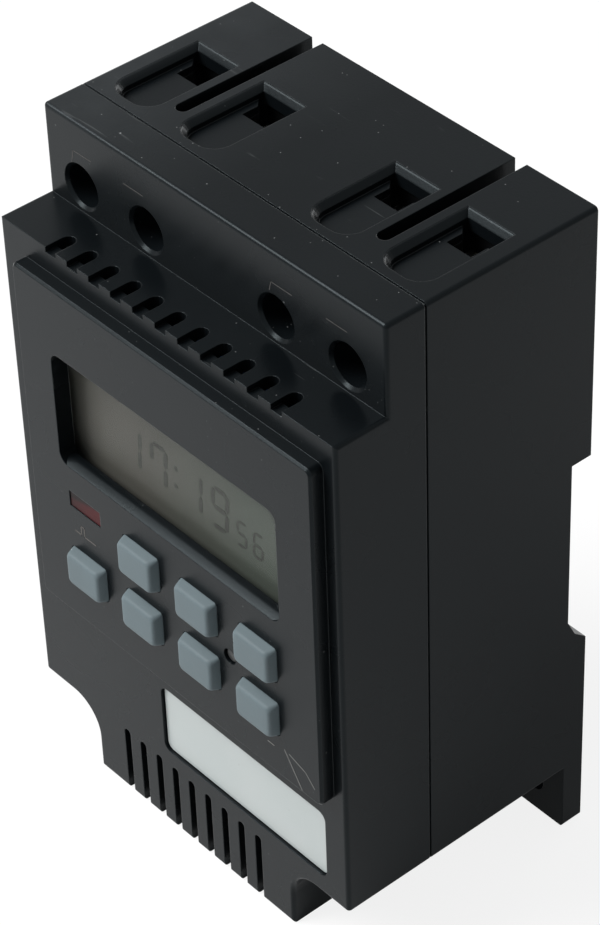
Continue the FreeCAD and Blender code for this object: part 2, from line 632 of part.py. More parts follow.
# Rear housing
def wire_pockets():
    """U-shaped openings in the top wall, round at the front and square at the rear."""
    pockets = []
    y0 = FRONT_Y + POCKET_FRONT
    y1 = FRONT_Y + POCKET_REAR
    for x in TERMINAL_XS:
        opening = box(x - POCKET_WIDTH / 2, x + POCKET_WIDTH / 2, y0, y1, TOP_Z - WALL - OVER, TOP_Z + OVER)
        corners = [e for e in opening.Edges
                   if abs(e.tangentAt(e.FirstParameter).z) > 0.9 and e.BoundBox.YMax < y0 + NEAR]
        pockets.append(opening.makeFillet(POCKET_ROUND, corners))
    return pockets


def groove_channels():
    """Deep narrow grooves between the terminals of each pair, open at the rear."""
    channels = []
    slots = []
    half = GROOVE_WIDTH / 2
    y0 = FRONT_Y + GROOVE_FRONT + half
    bottom = TOP_Z - GROOVE_DEPTH
    outer = half + GROOVE_WALL
    for x in (-PAIR_X, PAIR_X):
        walls = box(x - outer, x + outer, y0, BACK_Y - WALL / 2, bottom - GROOVE_WALL, TOP_Z - WALL / 2)
        nose = rod_z(x, y0, outer, bottom - GROOVE_WALL, TOP_Z - WALL / 2)
        channels.append(join([walls, nose]))
        slots.append(join([box(x - half, x + half, y0, BACK_Y + OVER, bottom, TOP_Z + OVER),
                           rod_z(x, y0, half, bottom, TOP_Z + OVER)]))
    return channels, slots


def rear_bosses():
    bosses = []
    bores = []
    seat_y = FRONT_Y + CASE_SCREW_HEAD_DEPTH
    wide = CASE_SCREW_HEAD_RADIUS + COUNTERBORE_GAP
    for x in (-CASE_SCREW_X, CASE_SCREW_X):
        for z in CASE_SCREW_ZS:
            bosses.append(plain_rod_y(x, z, BOSS_RADIUS + COUNTERBORE_GAP, SEAM_Y, BACK_Y - WALL / 2))
            bores.append(rod_y(x, z, wide, seat_y, BACK_Y + OVER))
            bores.append(plain_rod_y(x, z, CASE_SCREW_RADIUS + COUNTERBORE_GAP, SEAM_Y - OVER,
                                     seat_y + OVER))
    return bosses, bores


def board_standoffs():
    posts = []
    pilots = []
    face = POWER_BOARD_Y + BOARD_THICKNESS
    for x in (-STANDOFF_X, STANDOFF_X):
        for z in STANDOFF_ZS:
            rear = BACK_Y - WALL / 2 if z > SLOT_TOP_Z + WALL else INNER_BACK_Y + WALL / 2
            posts.append(plain_rod_y(x, z, STANDOFF_RADIUS, face, rear))
            pilots.append(plain_rod_y(x, z, BOARD_SCREW_RADIUS + THREAD_GAP, face - OVER,
                                      POWER_BOARD_Y + BOARD_SCREW_LENGTH))
    return posts, pilots


def clip_channel():
    """The T-shaped track of the rail clip, open at its top and bottom."""
    wide = CLIP_HALF_WIDTH + CLIP_FLANGE + CLIP_GAP
    narrow = CLIP_HALF_WIDTH + CLIP_GAP
    step_y = CLIP_FRONT_Y + CLIP_FLANGE_THICKNESS + CLIP_GAP
    low = BOTTOM_Z - OVER
    high = SLOT_TOP_Z - SLOT_FLOOR_HEIGHT + OVER
    track = box(-wide, wide, CLIP_FLOOR_Y, step_y, low, high)
    mouth = box(-narrow, narrow, CLIP_FLOOR_Y, BACK_Y + OVER, low, high)
    return join([track, mouth])


def spring_stop():
    """The tab that the clip's spring pushes against, standing in the track."""
    width = SPRING_RADIUS
    z0 = BOTTOM_Z + SPRING_STOP_UP
    return box(-width, width, CLIP_FLOOR_Y - WALL / 2, CLIP_FRONT_Y + 2 * SPRING_RADIUS,
               z0, z0 + SPRING_STOP_HEIGHT)


def rail_hooks():
    """Two hooks that reach down behind the rail's upper flange."""
    y0 = RAIL_FLANGE + RAIL_GAP
    hooks = []
    for x in (-HOOK_PITCH / 2, HOOK_PITCH / 2):
        x0 = x - HOOK_LENGTH / 2
        points = [V(x0, y0, SLOT_TOP_Z + WALL / 2), V(x0, y0, SLOT_TOP_Z - HOOK_DROP),
                  V(x0, BACK_Y - HOOK_DROP / 2, SLOT_TOP_Z - HOOK_DROP), V(x0, BACK_Y, SLOT_TOP_Z),
                  V(x0, BACK_Y, SLOT_TOP_Z + WALL / 2)]
        hooks.append(prism(points, V(HOOK_LENGTH, 0, 0)))
    return hooks


def seat_ribs():
    """Upright ribs on the slot's floor that the rail's upper flange and web rest against."""
    low = SLOT_TOP_Z - SLOT_FLOOR_HEIGHT + WALL
    return [box(x - SEAT_RIB_WIDTH / 2, x + SEAT_RIB_WIDTH / 2, INNER_BACK_Y + WALL / 2, 0, low,
                SLOT_TOP_Z + WALL / 2)
            for x in (-SEAT_RIB_PITCH, 0, SEAT_RIB_PITCH)]


def make_rear_housing(outside, hollow, groove):
    half = box(-SIDE_X - OVER, SIDE_X + OVER, SEAM_Y, BACK_Y + OVER, BOTTOM_Z - OVER, TOP_Z + OVER)
    shell = outside.common(half).cut([hollow, groove])
    channels, slots = groove_channels()
    bosses, bores = rear_bosses()
    posts, pilots = board_standoffs()
    inside = front_outline(WALL / 2, SEAM_Y, BACK_Y)
    inner_bosses = [boss.common(inside) for boss in bosses]
    shell = join([shell] + channels + inner_bosses + posts + rail_hooks() + seat_ribs())
    ears = [rod_y(x, BOTTOM_Z + EAR_HOLE_UP, EAR_HOLE_RADIUS, EAR_Y - OVER, BACK_Y + OVER)
            for x in (-EAR_HOLE_X, EAR_HOLE_X)]
    shell = shell.cut(wire_pockets() + slots + bores + pilots + ears + [clip_channel()])
    return join([shell, spring_stop()])


# Display
def make_display_window():
    return rounded_plate(PANEL_OFFSET, WINDOW_MID_Z, WINDOW_WIDTH + 2 * PANE_LAP,
                         WINDOW_HEIGHT + 2 * PANE_LAP, WINDOW_CORNER, PANE_Y, PANE_Y + PANE_THICKNESS)


def lcd_plate(grow, y0, y1):
    half_w = WINDOW_WIDTH / 2 + LCD_LAP + grow
    half_h = WINDOW_HEIGHT / 2 + LCD_LAP + grow
    return box(PANEL_OFFSET - half_w, PANEL_OFFSET + half_w, y0, y1, WINDOW_MID_Z - half_h,
               WINDOW_MID_Z + half_h)


def make_lcd_glass():
    return lcd_plate(0, LCD_Y, LCD_Y + LCD_THICKNESS)


def make_lcd_holder():
    frame = lcd_plate(HOLDER_WALL, LCD_Y, CONTROL_BOARD_Y)
    seat = lcd_plate(LED_GAP, LCD_Y - OVER, LCD_Y + LCD_THICKNESS)
    return frame.cut([seat, lcd_plate(-HOLDER_SHELF, LCD_Y, CONTROL_BOARD_Y + OVER)])


def make_zebra_strips():
    """Two rubber contact strips, along the top and the bottom of the glass."""
    half_w = WINDOW_WIDTH / 2 + LCD_LAP - HOLDER_SHELF - LED_GAP
    half_h = WINDOW_HEIGHT / 2 + LCD_LAP - HOLDER_SHELF - LED_GAP
    strips = []
    for side in (-1, 1):
        outer = WINDOW_MID_Z + side * half_h
        inner = outer - side * ZEBRA_WIDTH
        strips.append(box(PANEL_OFFSET - half_w, PANEL_OFFSET + half_w, LCD_Y + LCD_THICKNESS,
                          CONTROL_BOARD_Y, min(outer, inner), max(outer, inner)))
    return Part.makeCompound(strips)


# Keys, lamp and label
def make_key(x, z):
    """A rubber key: rounded cap, retaining flange and stem."""
    cap = bevelled_plate(x, z, KEY_WIDTH, KEY_HEIGHT, KEY_CORNER, PANEL_Y - KEY_PROUD,
                         PANEL_INNER_Y + REST_GAP)
    cap = cap.makeChamfer(KEY_BEVEL, edges_in_plane(cap, "Y", PANEL_Y - KEY_PROUD))
    flange_y = PANEL_INNER_Y + REST_GAP
    flange = box(x - KEY_WIDTH / 2 - KEY_FLANGE, x + KEY_WIDTH / 2 + KEY_FLANGE, flange_y,
                 flange_y + KEY_FLANGE_THICKNESS, z - KEY_HEIGHT / 2 - KEY_FLANGE,
                 z + KEY_HEIGHT / 2 + KEY_FLANGE)
    stem_end = CONTROL_BOARD_Y - MAT_THICKNESS - MAT_PAD_HEIGHT - KEY_TRAVEL - REST_GAP
    stem = box(x - KEY_STEM_WIDTH / 2, x + KEY_STEM_WIDTH / 2, flange_y + KEY_FLANGE_THICKNESS,
               stem_end, z - KEY_STEM_HEIGHT / 2, z + KEY_STEM_HEIGHT / 2)
    return join([cap, flange, stem])


def make_reset_button():
    flange_y = PANEL_INNER_Y + REST_GAP
    stem_end = CONTROL_BOARD_Y - MAT_THICKNESS - MAT_PAD_HEIGHT - RESET_TRAVEL - REST_GAP
    pin = rod_y(RESET_X, RESET_Z, RESET_RADIUS, PANEL_Y + RESET_SUNK, stem_end)
    flange = plain_rod_y(RESET_X, RESET_Z, RESET_FLANGE_RADIUS, flange_y, flange_y + KEY_FLANGE_THICKNESS)
    return join([pin, flange])


def make_status_led():
    """A red light pipe in the panel, on a lamp body with two legs to the board."""
    x = KEY_XS[0]
    flange_y = PANEL_INNER_Y + LED_GAP
    lens = box(x - LED_WIDTH / 2, x + LED_WIDTH / 2, PANEL_Y + LED_SUNK, flange_y,
               LED_Z - LED_HEIGHT / 2, LED_Z + LED_HEIGHT / 2)
    half_w = LED_WIDTH / 2 + LED_FLANGE
    half_h = LED_HEIGHT / 2 + LED_FLANGE
    body_end = flange_y + 2 * KEY_FLANGE_THICKNESS
    body = box(x - half_w, x + half_w, flange_y, body_end, LED_Z - half_h, LED_Z + half_h)
    leg = LED_GAP * 3
    legs = [box(x + side - leg, x + side + leg, body_end, CONTROL_BOARD_Y, LED_Z - leg, LED_Z + leg)
            for side in (-LED_WIDTH / 6, LED_WIDTH / 6)]
    return join([lens, body] + legs)


def make_label_plate():
    return rounded_plate(LABEL_X, LABEL_Z, LABEL_WIDTH, LABEL_HEIGHT, LABEL_CORNER - LABEL_GAP,
                         FRONT_Y + LABEL_SUNK, FRONT_Y + LABEL_SUNK + LABEL_THICKNESS)


def make_keypad_mat():
    """The rubber contact mat on the control board, with a low pad under each key."""
    y0 = CONTROL_BOARD_Y - MAT_THICKNESS
    mat = box(PANEL_OFFSET - MAT_HALF_WIDTH, PANEL_OFFSET + MAT_HALF_WIDTH, y0, CONTROL_BOARD_Y,
              MAT_BOTTOM_Z, MAT_TOP_Z)
    half = MAT_PAD_WIDTH / 2
    places = [(x, z) for name, x, z in key_places()] + [(RESET_X, RESET_Z)]
    pads = [box(x - half, x + half, y0 - MAT_PAD_HEIGHT, y0, z - half, z + half) for x, z in places]
    half_w = LED_WIDTH / 6 + 2 * LED_FLANGE
    half_h = LED_HEIGHT / 2
    led = box(KEY_XS[0] - half_w, KEY_XS[0] + half_w, y0 - OVER, CONTROL_BOARD_Y + OVER,
              LED_Z - half_h, LED_Z + half_h)
    return join([mat] + pads).cut(led)


# Boards
def make_control_board():
    return box(CONTROL_BOARD_LEFT, CONTROL_BOARD_RIGHT, CONTROL_BOARD_Y,
               CONTROL_BOARD_REAR_Y, CONTROL_BOARD_BOTTOM_Z, CONTROL_BOARD_TOP_Z)


def make_power_board():
    """The power board, wider at its top, where the contact bars reach it."""
    y0 = POWER_BOARD_Y
    y1 = y0 + BOARD_THICKNESS
    main = box(-POWER_BOARD_HALF_WIDTH, POWER_BOARD_HALF_WIDTH, y0, y1,
               BOTTOM_Z + POWER_BOARD_BOTTOM_UP, POWER_BOARD_TOP_Z)
    head = box(-POWER_BOARD_HEAD_HALF_WIDTH, POWER_BOARD_HEAD_HALF_WIDTH, y0, y1,
               POWER_BOARD_HEAD_Z, POWER_BOARD_TOP_Z)
    holes = [plain_rod_y(x, z, BOARD_SCREW_RADIUS + CLIP_GAP, y0 - OVER, y1 + OVER)
             for x in (-STANDOFF_X, STANDOFF_X) for z in STANDOFF_ZS]
    return join([main, head]).cut(holes)


def make_board_screws():
    screws = []
    for x in (-STANDOFF_X, STANDOFF_X):
        for z in STANDOFF_ZS:
            head = plain_rod_y(x, z, BOARD_SCREW_HEAD_RADIUS,
                               POWER_BOARD_Y - BOARD_SCREW_HEAD_THICKNESS, POWER_BOARD_Y)
            shank = plain_rod_y(x, z, BOARD_SCREW_RADIUS, POWER_BOARD_Y,
                                POWER_BOARD_Y + BOARD_SCREW_LENGTH - OVER)
            screws.append(join([head, shank]))
    return Part.makeCompound(screws)


def on_control_board(x, z, width, height, depth):
    y0 = CONTROL_BOARD_REAR_Y
    return box(x - width / 2, x + width / 2, y0, y0 + depth, z - height / 2, z + height / 2)


def on_power_board(x, z, width, height, depth):
    return box(x - width / 2, x + width / 2, POWER_BOARD_Y - depth, POWER_BOARD_Y,
               z - height / 2, z + height / 2)


def make_board_cable():
    """A flat cable between the boards, in an S of two equal arcs."""
    y0 = CONTROL_BOARD_REAR_Y
    run = POWER_BOARD_Y - y0
    angle = 2 * math.atan2(CABLE_DROP, run)
    radius = run / (2 * math.sin(angle))
    z0 = CONTROL_BOARD_BOTTOM_Z + CABLE_EDGE_GAP
    z1 = z0 - CABLE_DROP
    mid = CABLE_THICKNESS / 2
    x0 = CABLE_X - CABLE_WIDTH / 2

    def on_first(r, turn):
        return V(x0, y0 + r * math.sin(turn), z0 - radius + r * math.cos(turn))

    def on_second(r, turn):
        return V(x0, POWER_BOARD_Y - r * math.sin(turn), z1 + radius - r * math.cos(turn))

    def line(a, b):
        return Part.LineSegment(a, b).toShape()

    half = angle / 2
    far = radius + mid
    near = radius - mid
    edges = [Part.Arc(on_first(far, 0), on_first(far, half), on_first(far, angle)).toShape(),
             Part.Arc(on_second(near, angle), on_second(near, half), on_second(near, 0)).toShape(),
             line(on_second(near, 0), on_second(far, 0)),
             Part.Arc(on_second(far, 0), on_second(far, half), on_second(far, angle)).toShape(),
             Part.Arc(on_first(near, angle), on_first(near, half), on_first(near, 0)).toShape(),
             line(on_first(near, 0), on_first(far, 0))]
    return Part.Face(Part.Wire(edges)).extrude(V(CABLE_WIDTH, 0, 0))


# Terminals
def wire_entry(x):
    """The wire hole in the terminal block: square in front, spreading to the pocket's width behind."""
    z0 = TERMINAL_Z
    wide = POCKET_WIDTH / 2
    turn_y = WIRE_Y + FLARE_FRONT
    flare_y = turn_y + wide - WIRE_HALF_WIDTH
    points = [V(x - WIRE_HALF_WIDTH, WIRE_Y, z0), V(x + WIRE_HALF_WIDTH, WIRE_Y, z0),
              V(x + WIRE_HALF_WIDTH, turn_y, z0), V(x + wide, flare_y, z0),
              V(x + wide, WIRE_REAR_Y, z0), V(x - wide, WIRE_REAR_Y, z0),
              V(x - wide, flare_y, z0), V(x - WIRE_HALF_WIDTH, turn_y, z0)]
    return prism(points, V(0, 0, POCKET_FLOOR_Z - z0 + OVER))


def make_terminal_block(side):
    """The insulating block of one terminal pair, with a chamber for each cage clamp."""
    mid = side * PAIR_X
    half = (TERMINAL_OUTER_X - TERMINAL_INNER_X) / 2 + CHAMBER_HALF_WIDTH + BLOCK_SIDE_WALL
    block = box(mid - half, mid + half, BLOCK_Y, BACK_Y - WALL, BLOCK_BOTTOM_Z, POCKET_FLOOR_Z)
    groove_half = GROOVE_WIDTH / 2 + GROOVE_WALL + GROOVE_GAP
    groove_y = FRONT_Y + GROOVE_FRONT + GROOVE_WIDTH / 2
    groove_z = TOP_Z - GROOVE_DEPTH - GROOVE_WALL - CAGE_GAP
    tools = [box(mid - groove_half, mid + groove_half, groove_y, BACK_Y, groove_z, TOP_Z),
             rod_z(mid, groove_y, groove_half, groove_z, TOP_Z)]
    for x in (side * TERMINAL_INNER_X, side * TERMINAL_OUTER_X):
        tools.append(box(x - CHAMBER_HALF_WIDTH, x + CHAMBER_HALF_WIDTH, CHAMBER_Y, CHAMBER_REAR_Y,
                         TERMINAL_Z - CHAMBER_HALF_HEIGHT, TERMINAL_Z + CHAMBER_HALF_HEIGHT))
        tools.append(plain_rod_y(x, TERMINAL_Z, TERMINAL_SCREW_RADIUS + CAGE_GAP, BLOCK_Y - OVER,
                                 CHAMBER_Y + OVER))
        tools.append(box(x - BAR_HALF_WIDTH - CAGE_GAP, x + BAR_HALF_WIDTH + CAGE_GAP, BAR_Y - CAGE_GAP,
                         BAR_REAR_Y + CAGE_GAP, BLOCK_BOTTOM_Z - OVER, TERMINAL_Z))
        tools.append(wire_entry(x))
    return block.cut(tools)


def make_cage_clamp(x):
    """A square tube for the wire, whose front wall is the screw's nut."""
    rear = CAGE_REAR_INNER_Y + CAGE_REAR_WALL
    z0 = TERMINAL_Z - CAGE_HALF_HEIGHT
    z1 = TERMINAL_Z + CAGE_HALF_HEIGHT
    tube = box(x - CAGE_HALF_WIDTH, x + CAGE_HALF_WIDTH, CAGE_FRONT_Y, rear, z0, z1)
    upright = [e for e in tube.Edges if abs(e.tangentAt(e.FirstParameter).z) > 0.9]
    tube = tube.makeChamfer(CAGE_SIDE_WALL / 2, upright)
    inner = CAGE_HALF_WIDTH - CAGE_SIDE_WALL
    hollow = box(x - inner, x + inner, CAGE_FRONT_Y + CAGE_NUT_WALL, CAGE_REAR_INNER_Y,
                 z0 - OVER, z1 + OVER)
    thread = rod_y(x, TERMINAL_Z, TERMINAL_SCREW_RADIUS + THREAD_GAP, CAGE_FRONT_Y - OVER,
                   CAGE_FRONT_Y + CAGE_NUT_WALL + OVER)
    return tube.cut([hollow, thread])


def make_contact_bar(x):
    """The L-shaped bar inside the cage, with its foot on the power board."""
    top = TERMINAL_Z + CAGE_HALF_HEIGHT
    foot_z = (POWER_BOARD_HEAD_Z + POWER_BOARD_TOP_Z) / 2
    upright = box(x - BAR_HALF_WIDTH, x + BAR_HALF_WIDTH, BAR_Y, BAR_REAR_Y, foot_z, top)
    foot = box(x - BAR_HALF_WIDTH, x + BAR_HALF_WIDTH, BAR_Y, POWER_BOARD_Y, foot_z, foot_z + BAR_THICKNESS)
    return join([upright, foot])


def make_terminal_screw(x):
    head_end = BLOCK_Y - SCREW_HEAD_GAP
    head_y = head_end - SCREW_HEAD_THICKNESS
    head = rod_y(x, TERMINAL_Z, SCREW_HEAD_RADIUS, head_y, head_end)
    shank = plain_rod_y(x, TERMINAL_Z, TERMINAL_SCREW_RADIUS, head_end, BAR_Y - CAGE_GAP)
    reach = SCREW_HEAD_RADIUS - DRIVER_SLOT_WIDTH
    half = DRIVER_SLOT_WIDTH / 2
    y1 = head_y + DRIVER_SLOT_DEPTH
    slots = [box(x - reach, x + reach, head_y - OVER, y1, TERMINAL_Z - half, TERMINAL_Z + half),
             box(x - half, x + half, head_y - OVER, y1, TERMINAL_Z - reach, TERMINAL_Z + reach)]
    return join([head, shank]).cut(slots)


# Fasteners and rail clip
def make_case_screws():
    screws = []
    head_y = FRONT_Y + CASE_SCREW_HEAD_DEPTH
    for x in (-CASE_SCREW_X, CASE_SCREW_X):
        for z in CASE_SCREW_ZS:
            head = plain_rod_y(x, z, CASE_SCREW_HEAD_RADIUS, head_y, head_y + CASE_SCREW_HEAD_THICKNESS)
            shank = plain_rod_y(x, z, CASE_SCREW_RADIUS, FRONT_Y + CASE_SCREW_TIP_DEPTH, head_y)
            screws.append(join([head, shank]))
    return Part.makeCompound(screws)


def make_rail_clip():
    """The sprung clip: a plate in the track, a jaw under the rail's lower flange and a lip behind it."""
    low = BOTTOM_Z + CLIP_BOTTOM_UP
    half = CLIP_HALF_WIDTH
    lip_y = RAIL_FLANGE + RAIL_GAP
    top = CLIP_JAW_Z + CLIP_LIP_RISE
    bevel = CLIP_BACK_Y - lip_y
    profile = [V(-half, CLIP_FRONT_Y, low), V(-half, CLIP_BACK_Y, low),
               V(-half, CLIP_BACK_Y, top - bevel), V(-half, lip_y, top), V(-half, lip_y, CLIP_JAW_Z),
               V(-half, CLIP_FRONT_Y, CLIP_JAW_Z)]
    body = prism(profile, V(2 * half, 0, 0))
    wide = half + CLIP_FLANGE
    flange = box(-wide, wide, CLIP_FRONT_Y, CLIP_FRONT_Y + CLIP_FLANGE_THICKNESS,
                 BOTTOM_Z + CLIP_FLANGE_BOTTOM_UP, CLIP_JAW_Z - CLIP_FLANGE_TOP_DROP)
    pocket_half = SPRING_RADIUS + SPRING_GAP
    pocket = box(-pocket_half, pocket_half, CLIP_FRONT_Y - OVER,
                 CLIP_FRONT_Y + 2 * SPRING_RADIUS + SPRING_GAP,
                 BOTTOM_Z + SPRING_STOP_UP - SPRING_GAP, SPRING_Z + SPRING_LENGTH)
    driver = box(-CLIP_DRIVER_WIDTH / 2, CLIP_DRIVER_WIDTH / 2, CLIP_FRONT_Y - OVER, CLIP_BACK_Y + OVER,
                 BOTTOM_Z + CLIP_DRIVER_UP, BOTTOM_Z + CLIP_DRIVER_UP + CLIP_DRIVER_HEIGHT)
    return join([body, flange]).cut([pocket, driver])


def make_clip_spring():
    y = CLIP_FRONT_Y + SPRING_RADIUS
    coil = rod_z(0, y, SPRING_RADIUS, SPRING_Z, SPRING_Z + SPRING_LENGTH)
    return coil.cut(rod_z(0, y, SPRING_BORE, SPRING_Z - OVER, SPRING_Z + SPRING_LENGTH + OVER))


# Nodes
def build():
    outside = case_outside()
    hollow = cavity()
    groove = seam_groove()
    nodes = {
        "front_cover": make_front_cover(outside, hollow, groove),
        "rear_housing": make_rear_housing(outside, hollow, groove),
        "display_window": make_display_window(),
        "lcd_glass": make_lcd_glass(),
        "lcd_holder": make_lcd_holder(),
        "zebra_strips": make_zebra_strips(),
        "reset_button": make_reset_button(),
        "status_led": make_status_led(),
        "label_plate": make_label_plate(),
        "keypad_mat": make_keypad_mat(),
        "control_board": make_control_board(),
        "controller_chip": on_control_board(CHIP_X, KEY_UPPER_Z, CHIP_SIZE, CHIP_SIZE, CHIP_THICKNESS),
        "clock_crystal": on_control_board(CRYSTAL_X, RESET_Z, CRYSTAL_LENGTH, CRYSTAL_HEIGHT, CRYSTAL_DEPTH),
        "backup_cell": plain_rod_y(CELL_X, WINDOW_MID_Z, CELL_RADIUS, CONTROL_BOARD_REAR_Y,
                                   CONTROL_BOARD_REAR_Y + CELL_THICKNESS),
        "power_board": make_power_board(),
        "relay": on_power_board(RELAY_X, RELAY_TOP_Z - RELAY_HEIGHT / 2, RELAY_WIDTH, RELAY_HEIGHT,
                                RELAY_DEPTH),
        "dropper_capacitor": on_power_board(DROPPER_X, DROPPER_Z, DROPPER_WIDTH, DROPPER_HEIGHT,
                                            DROPPER_DEPTH),
        "smoothing_capacitor": plain_rod_y(DROPPER_X, SMOOTHING_Z, SMOOTHING_RADIUS,
                                           POWER_BOARD_Y - SMOOTHING_LENGTH, POWER_BOARD_Y),
        "board_cable": make_board_cable(),
        "board_screws": make_board_screws(),
        "case_screws": make_case_screws(),
        "terminal_block_left": make_terminal_block(-1),
        "terminal_block_right": make_terminal_block(1),
        "rail_clip": make_rail_clip(),
        "clip_spring": make_clip_spring(),
    }
    for name, x, z in key_places():
        nodes[name] = make_key(x, z)
    for i, x in enumerate(TERMINAL_XS):
        nodes["contact_bar_%d" % (i + 1)] = make_contact_bar(x)
        nodes["cage_clamp_%d" % (i + 1)] = make_cage_clamp(x)
        nodes["terminal_screw_%d" % (i + 1)] = make_terminal_screw(x)
    return nodes


os.makedirs("parts", exist_ok=True)
for node, shape in build().items():
    shape.exportStep("parts/" + node + ".step")
    print(node, shape.isValid(), len(shape.Solids), round(shape.Volume, 1))
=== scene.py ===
import bpy
import bmesh
import json
import math
from mathutils import Matrix, Vector

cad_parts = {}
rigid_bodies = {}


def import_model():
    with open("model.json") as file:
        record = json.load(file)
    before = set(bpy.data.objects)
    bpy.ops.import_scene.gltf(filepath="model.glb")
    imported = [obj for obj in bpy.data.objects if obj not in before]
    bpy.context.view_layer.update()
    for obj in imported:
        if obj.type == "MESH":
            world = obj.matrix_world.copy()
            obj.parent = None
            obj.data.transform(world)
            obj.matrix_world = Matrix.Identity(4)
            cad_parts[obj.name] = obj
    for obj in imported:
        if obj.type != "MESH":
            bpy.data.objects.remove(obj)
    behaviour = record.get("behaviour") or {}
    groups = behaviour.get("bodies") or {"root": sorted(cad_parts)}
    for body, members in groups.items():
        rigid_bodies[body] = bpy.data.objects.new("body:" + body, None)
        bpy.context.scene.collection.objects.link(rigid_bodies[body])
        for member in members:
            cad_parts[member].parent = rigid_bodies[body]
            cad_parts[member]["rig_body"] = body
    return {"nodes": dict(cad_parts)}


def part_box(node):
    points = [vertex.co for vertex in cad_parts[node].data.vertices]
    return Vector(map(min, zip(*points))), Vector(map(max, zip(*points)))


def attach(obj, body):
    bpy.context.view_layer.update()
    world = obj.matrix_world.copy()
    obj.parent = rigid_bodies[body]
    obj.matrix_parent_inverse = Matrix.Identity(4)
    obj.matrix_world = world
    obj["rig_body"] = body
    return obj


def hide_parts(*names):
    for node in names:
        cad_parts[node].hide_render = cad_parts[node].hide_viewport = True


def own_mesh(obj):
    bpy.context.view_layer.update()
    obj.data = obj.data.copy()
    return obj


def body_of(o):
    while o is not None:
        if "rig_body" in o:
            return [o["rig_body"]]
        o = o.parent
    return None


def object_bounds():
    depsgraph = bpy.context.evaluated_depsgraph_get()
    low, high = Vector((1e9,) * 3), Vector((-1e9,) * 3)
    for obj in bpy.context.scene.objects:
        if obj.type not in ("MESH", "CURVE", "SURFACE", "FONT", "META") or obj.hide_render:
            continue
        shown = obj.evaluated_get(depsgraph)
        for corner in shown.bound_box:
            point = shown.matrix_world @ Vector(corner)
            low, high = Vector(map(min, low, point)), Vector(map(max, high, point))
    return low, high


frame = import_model()
nodes = frame["nodes"]
cad_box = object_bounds()

MM = 0.001

# How light the background shows: seen straight or through glass, and mirrored in the part
FLOOR_SEEN_GLOW = 0.85
FLOOR_MIRRORED_GLOW = 0.23
ROOM_SEEN_GLOW = 1.0
ROOM_MIRRORED_GLOW = 0.74

# Looks of the moulded case
PLASTIC_SHEEN = 0.104
EDGE_RADIUS = 0.00022
# Heights between which the top face takes the painted light
PAINTED_LIGHT_LOW_Z = 0.0628
PAINTED_LIGHT_HIGH_Z = 0.0635

# Edges that meet at more than this angle, in radians, stay sharp
SHARP_ANGLE = 0.9

# Places that the drawn details need, in millimetres in the row frame
PANEL_Y = -51.1
TERMINAL_Y = -38.75
LCD_Y = -46.7
INK_THICKNESS = 0.02


# Camera, solved from the photograph's edges
def make_camera():
    data = bpy.data.cameras.new("photo_camera")
    data.sensor_fit = "AUTO"
    data.sensor_width = 36.0
    data.lens = 134.77
    data.shift_x = 0.0040
    data.shift_y = -0.0033
    data.clip_start = 0.01
    data.clip_end = 20.0
    cam = bpy.data.objects.new("photo_camera", data)
    bpy.context.scene.collection.objects.link(cam)
    yaw = math.radians(50.44)
    pitch = math.radians(39.47)
    roll = math.radians(-2.29)
    right = Vector((math.cos(yaw), math.sin(yaw), 0.0))
    back = Vector((math.sin(yaw) * math.cos(pitch), -math.cos(yaw) * math.cos(pitch),
                   math.sin(pitch)))
    up = back.cross(right)
    x_axis = right * math.cos(roll) + up * math.sin(roll)
    y_axis = up * math.cos(roll) - right * math.sin(roll)
    place = Vector((322.23, -289.98, 352.50)) * MM
    cam.matrix_world = Matrix((
        (x_axis.x, y_axis.x, back.x, place.x),
        (x_axis.y, y_axis.y, back.y, place.y),
        (x_axis.z, y_axis.z, back.z, place.z),
        (0.0, 0.0, 0.0, 1.0)))
    bpy.context.scene.camera = cam


# Node helpers
def new_material(name):
    mat = bpy.data.materials.new(name)
    mat.use_nodes = True
    tree = mat.node_tree
    shader = tree.nodes["Principled BSDF"]
    return mat, tree, shader


def node(tree, kind, **values):
    made = tree.nodes.new(kind)
    for key, value in values.items():
        setattr(made, key, value)
    return made


def noise(tree, coords, scale, detail=3.0, roughness=0.55):
    made = node(tree, "ShaderNodeTexNoise")
    made.inputs["Scale"].default_value = scale
    made.inputs["Detail"].default_value = detail
    made.inputs["Roughness"].default_value = roughness
    tree.links.new(coords, made.inputs["Vector"])
    return made.outputs["Fac"]


def remap(tree, value, low, high, out_low, out_high):
    made = node(tree, "ShaderNodeMapRange", clamp=True)
    made.inputs["From Min"].default_value = low
    made.inputs["From Max"].default_value = high
    made.inputs["To Min"].default_value = out_low
    made.inputs["To Max"].default_value = out_high
    tree.links.new(value, made.inputs["Value"])
    return made.outputs["Result"]


def mix_colour(tree, factor, a, b):
    made = node(tree, "ShaderNodeMix", data_type="RGBA")
    tree.links.new(factor, made.inputs["Factor"])
    for socket, value in ((made.inputs[6], a), (made.inputs[7], b)):
        if isinstance(value, tuple):
            socket.default_value = (*value, 1.0)
        else:
            tree.links.new(value, socket)
    return made.outputs[2]


def maths(tree, operation, a, b):
    made = node(tree, "ShaderNodeMath", operation=operation)
    for socket, value in ((made.inputs[0], a), (made.inputs[1], b)):
        if isinstance(value, (int, float)):
            socket.default_value = value
        else:
            tree.links.new(value, socket)
    return made.outputs["Value"]


def bump(tree, shader, height, strength, distance, soft=None):
    made = node(tree, "ShaderNodeBump")
    made.inputs["Strength"].default_value = strength
    made.inputs["Distance"].default_value = distance
    tree.links.new(height, made.inputs["Height"])
    if soft is not None:
        tree.links.new(soft, made.inputs["Normal"])
    tree.links.new(made.outputs["Normal"], shader.inputs["Normal"])


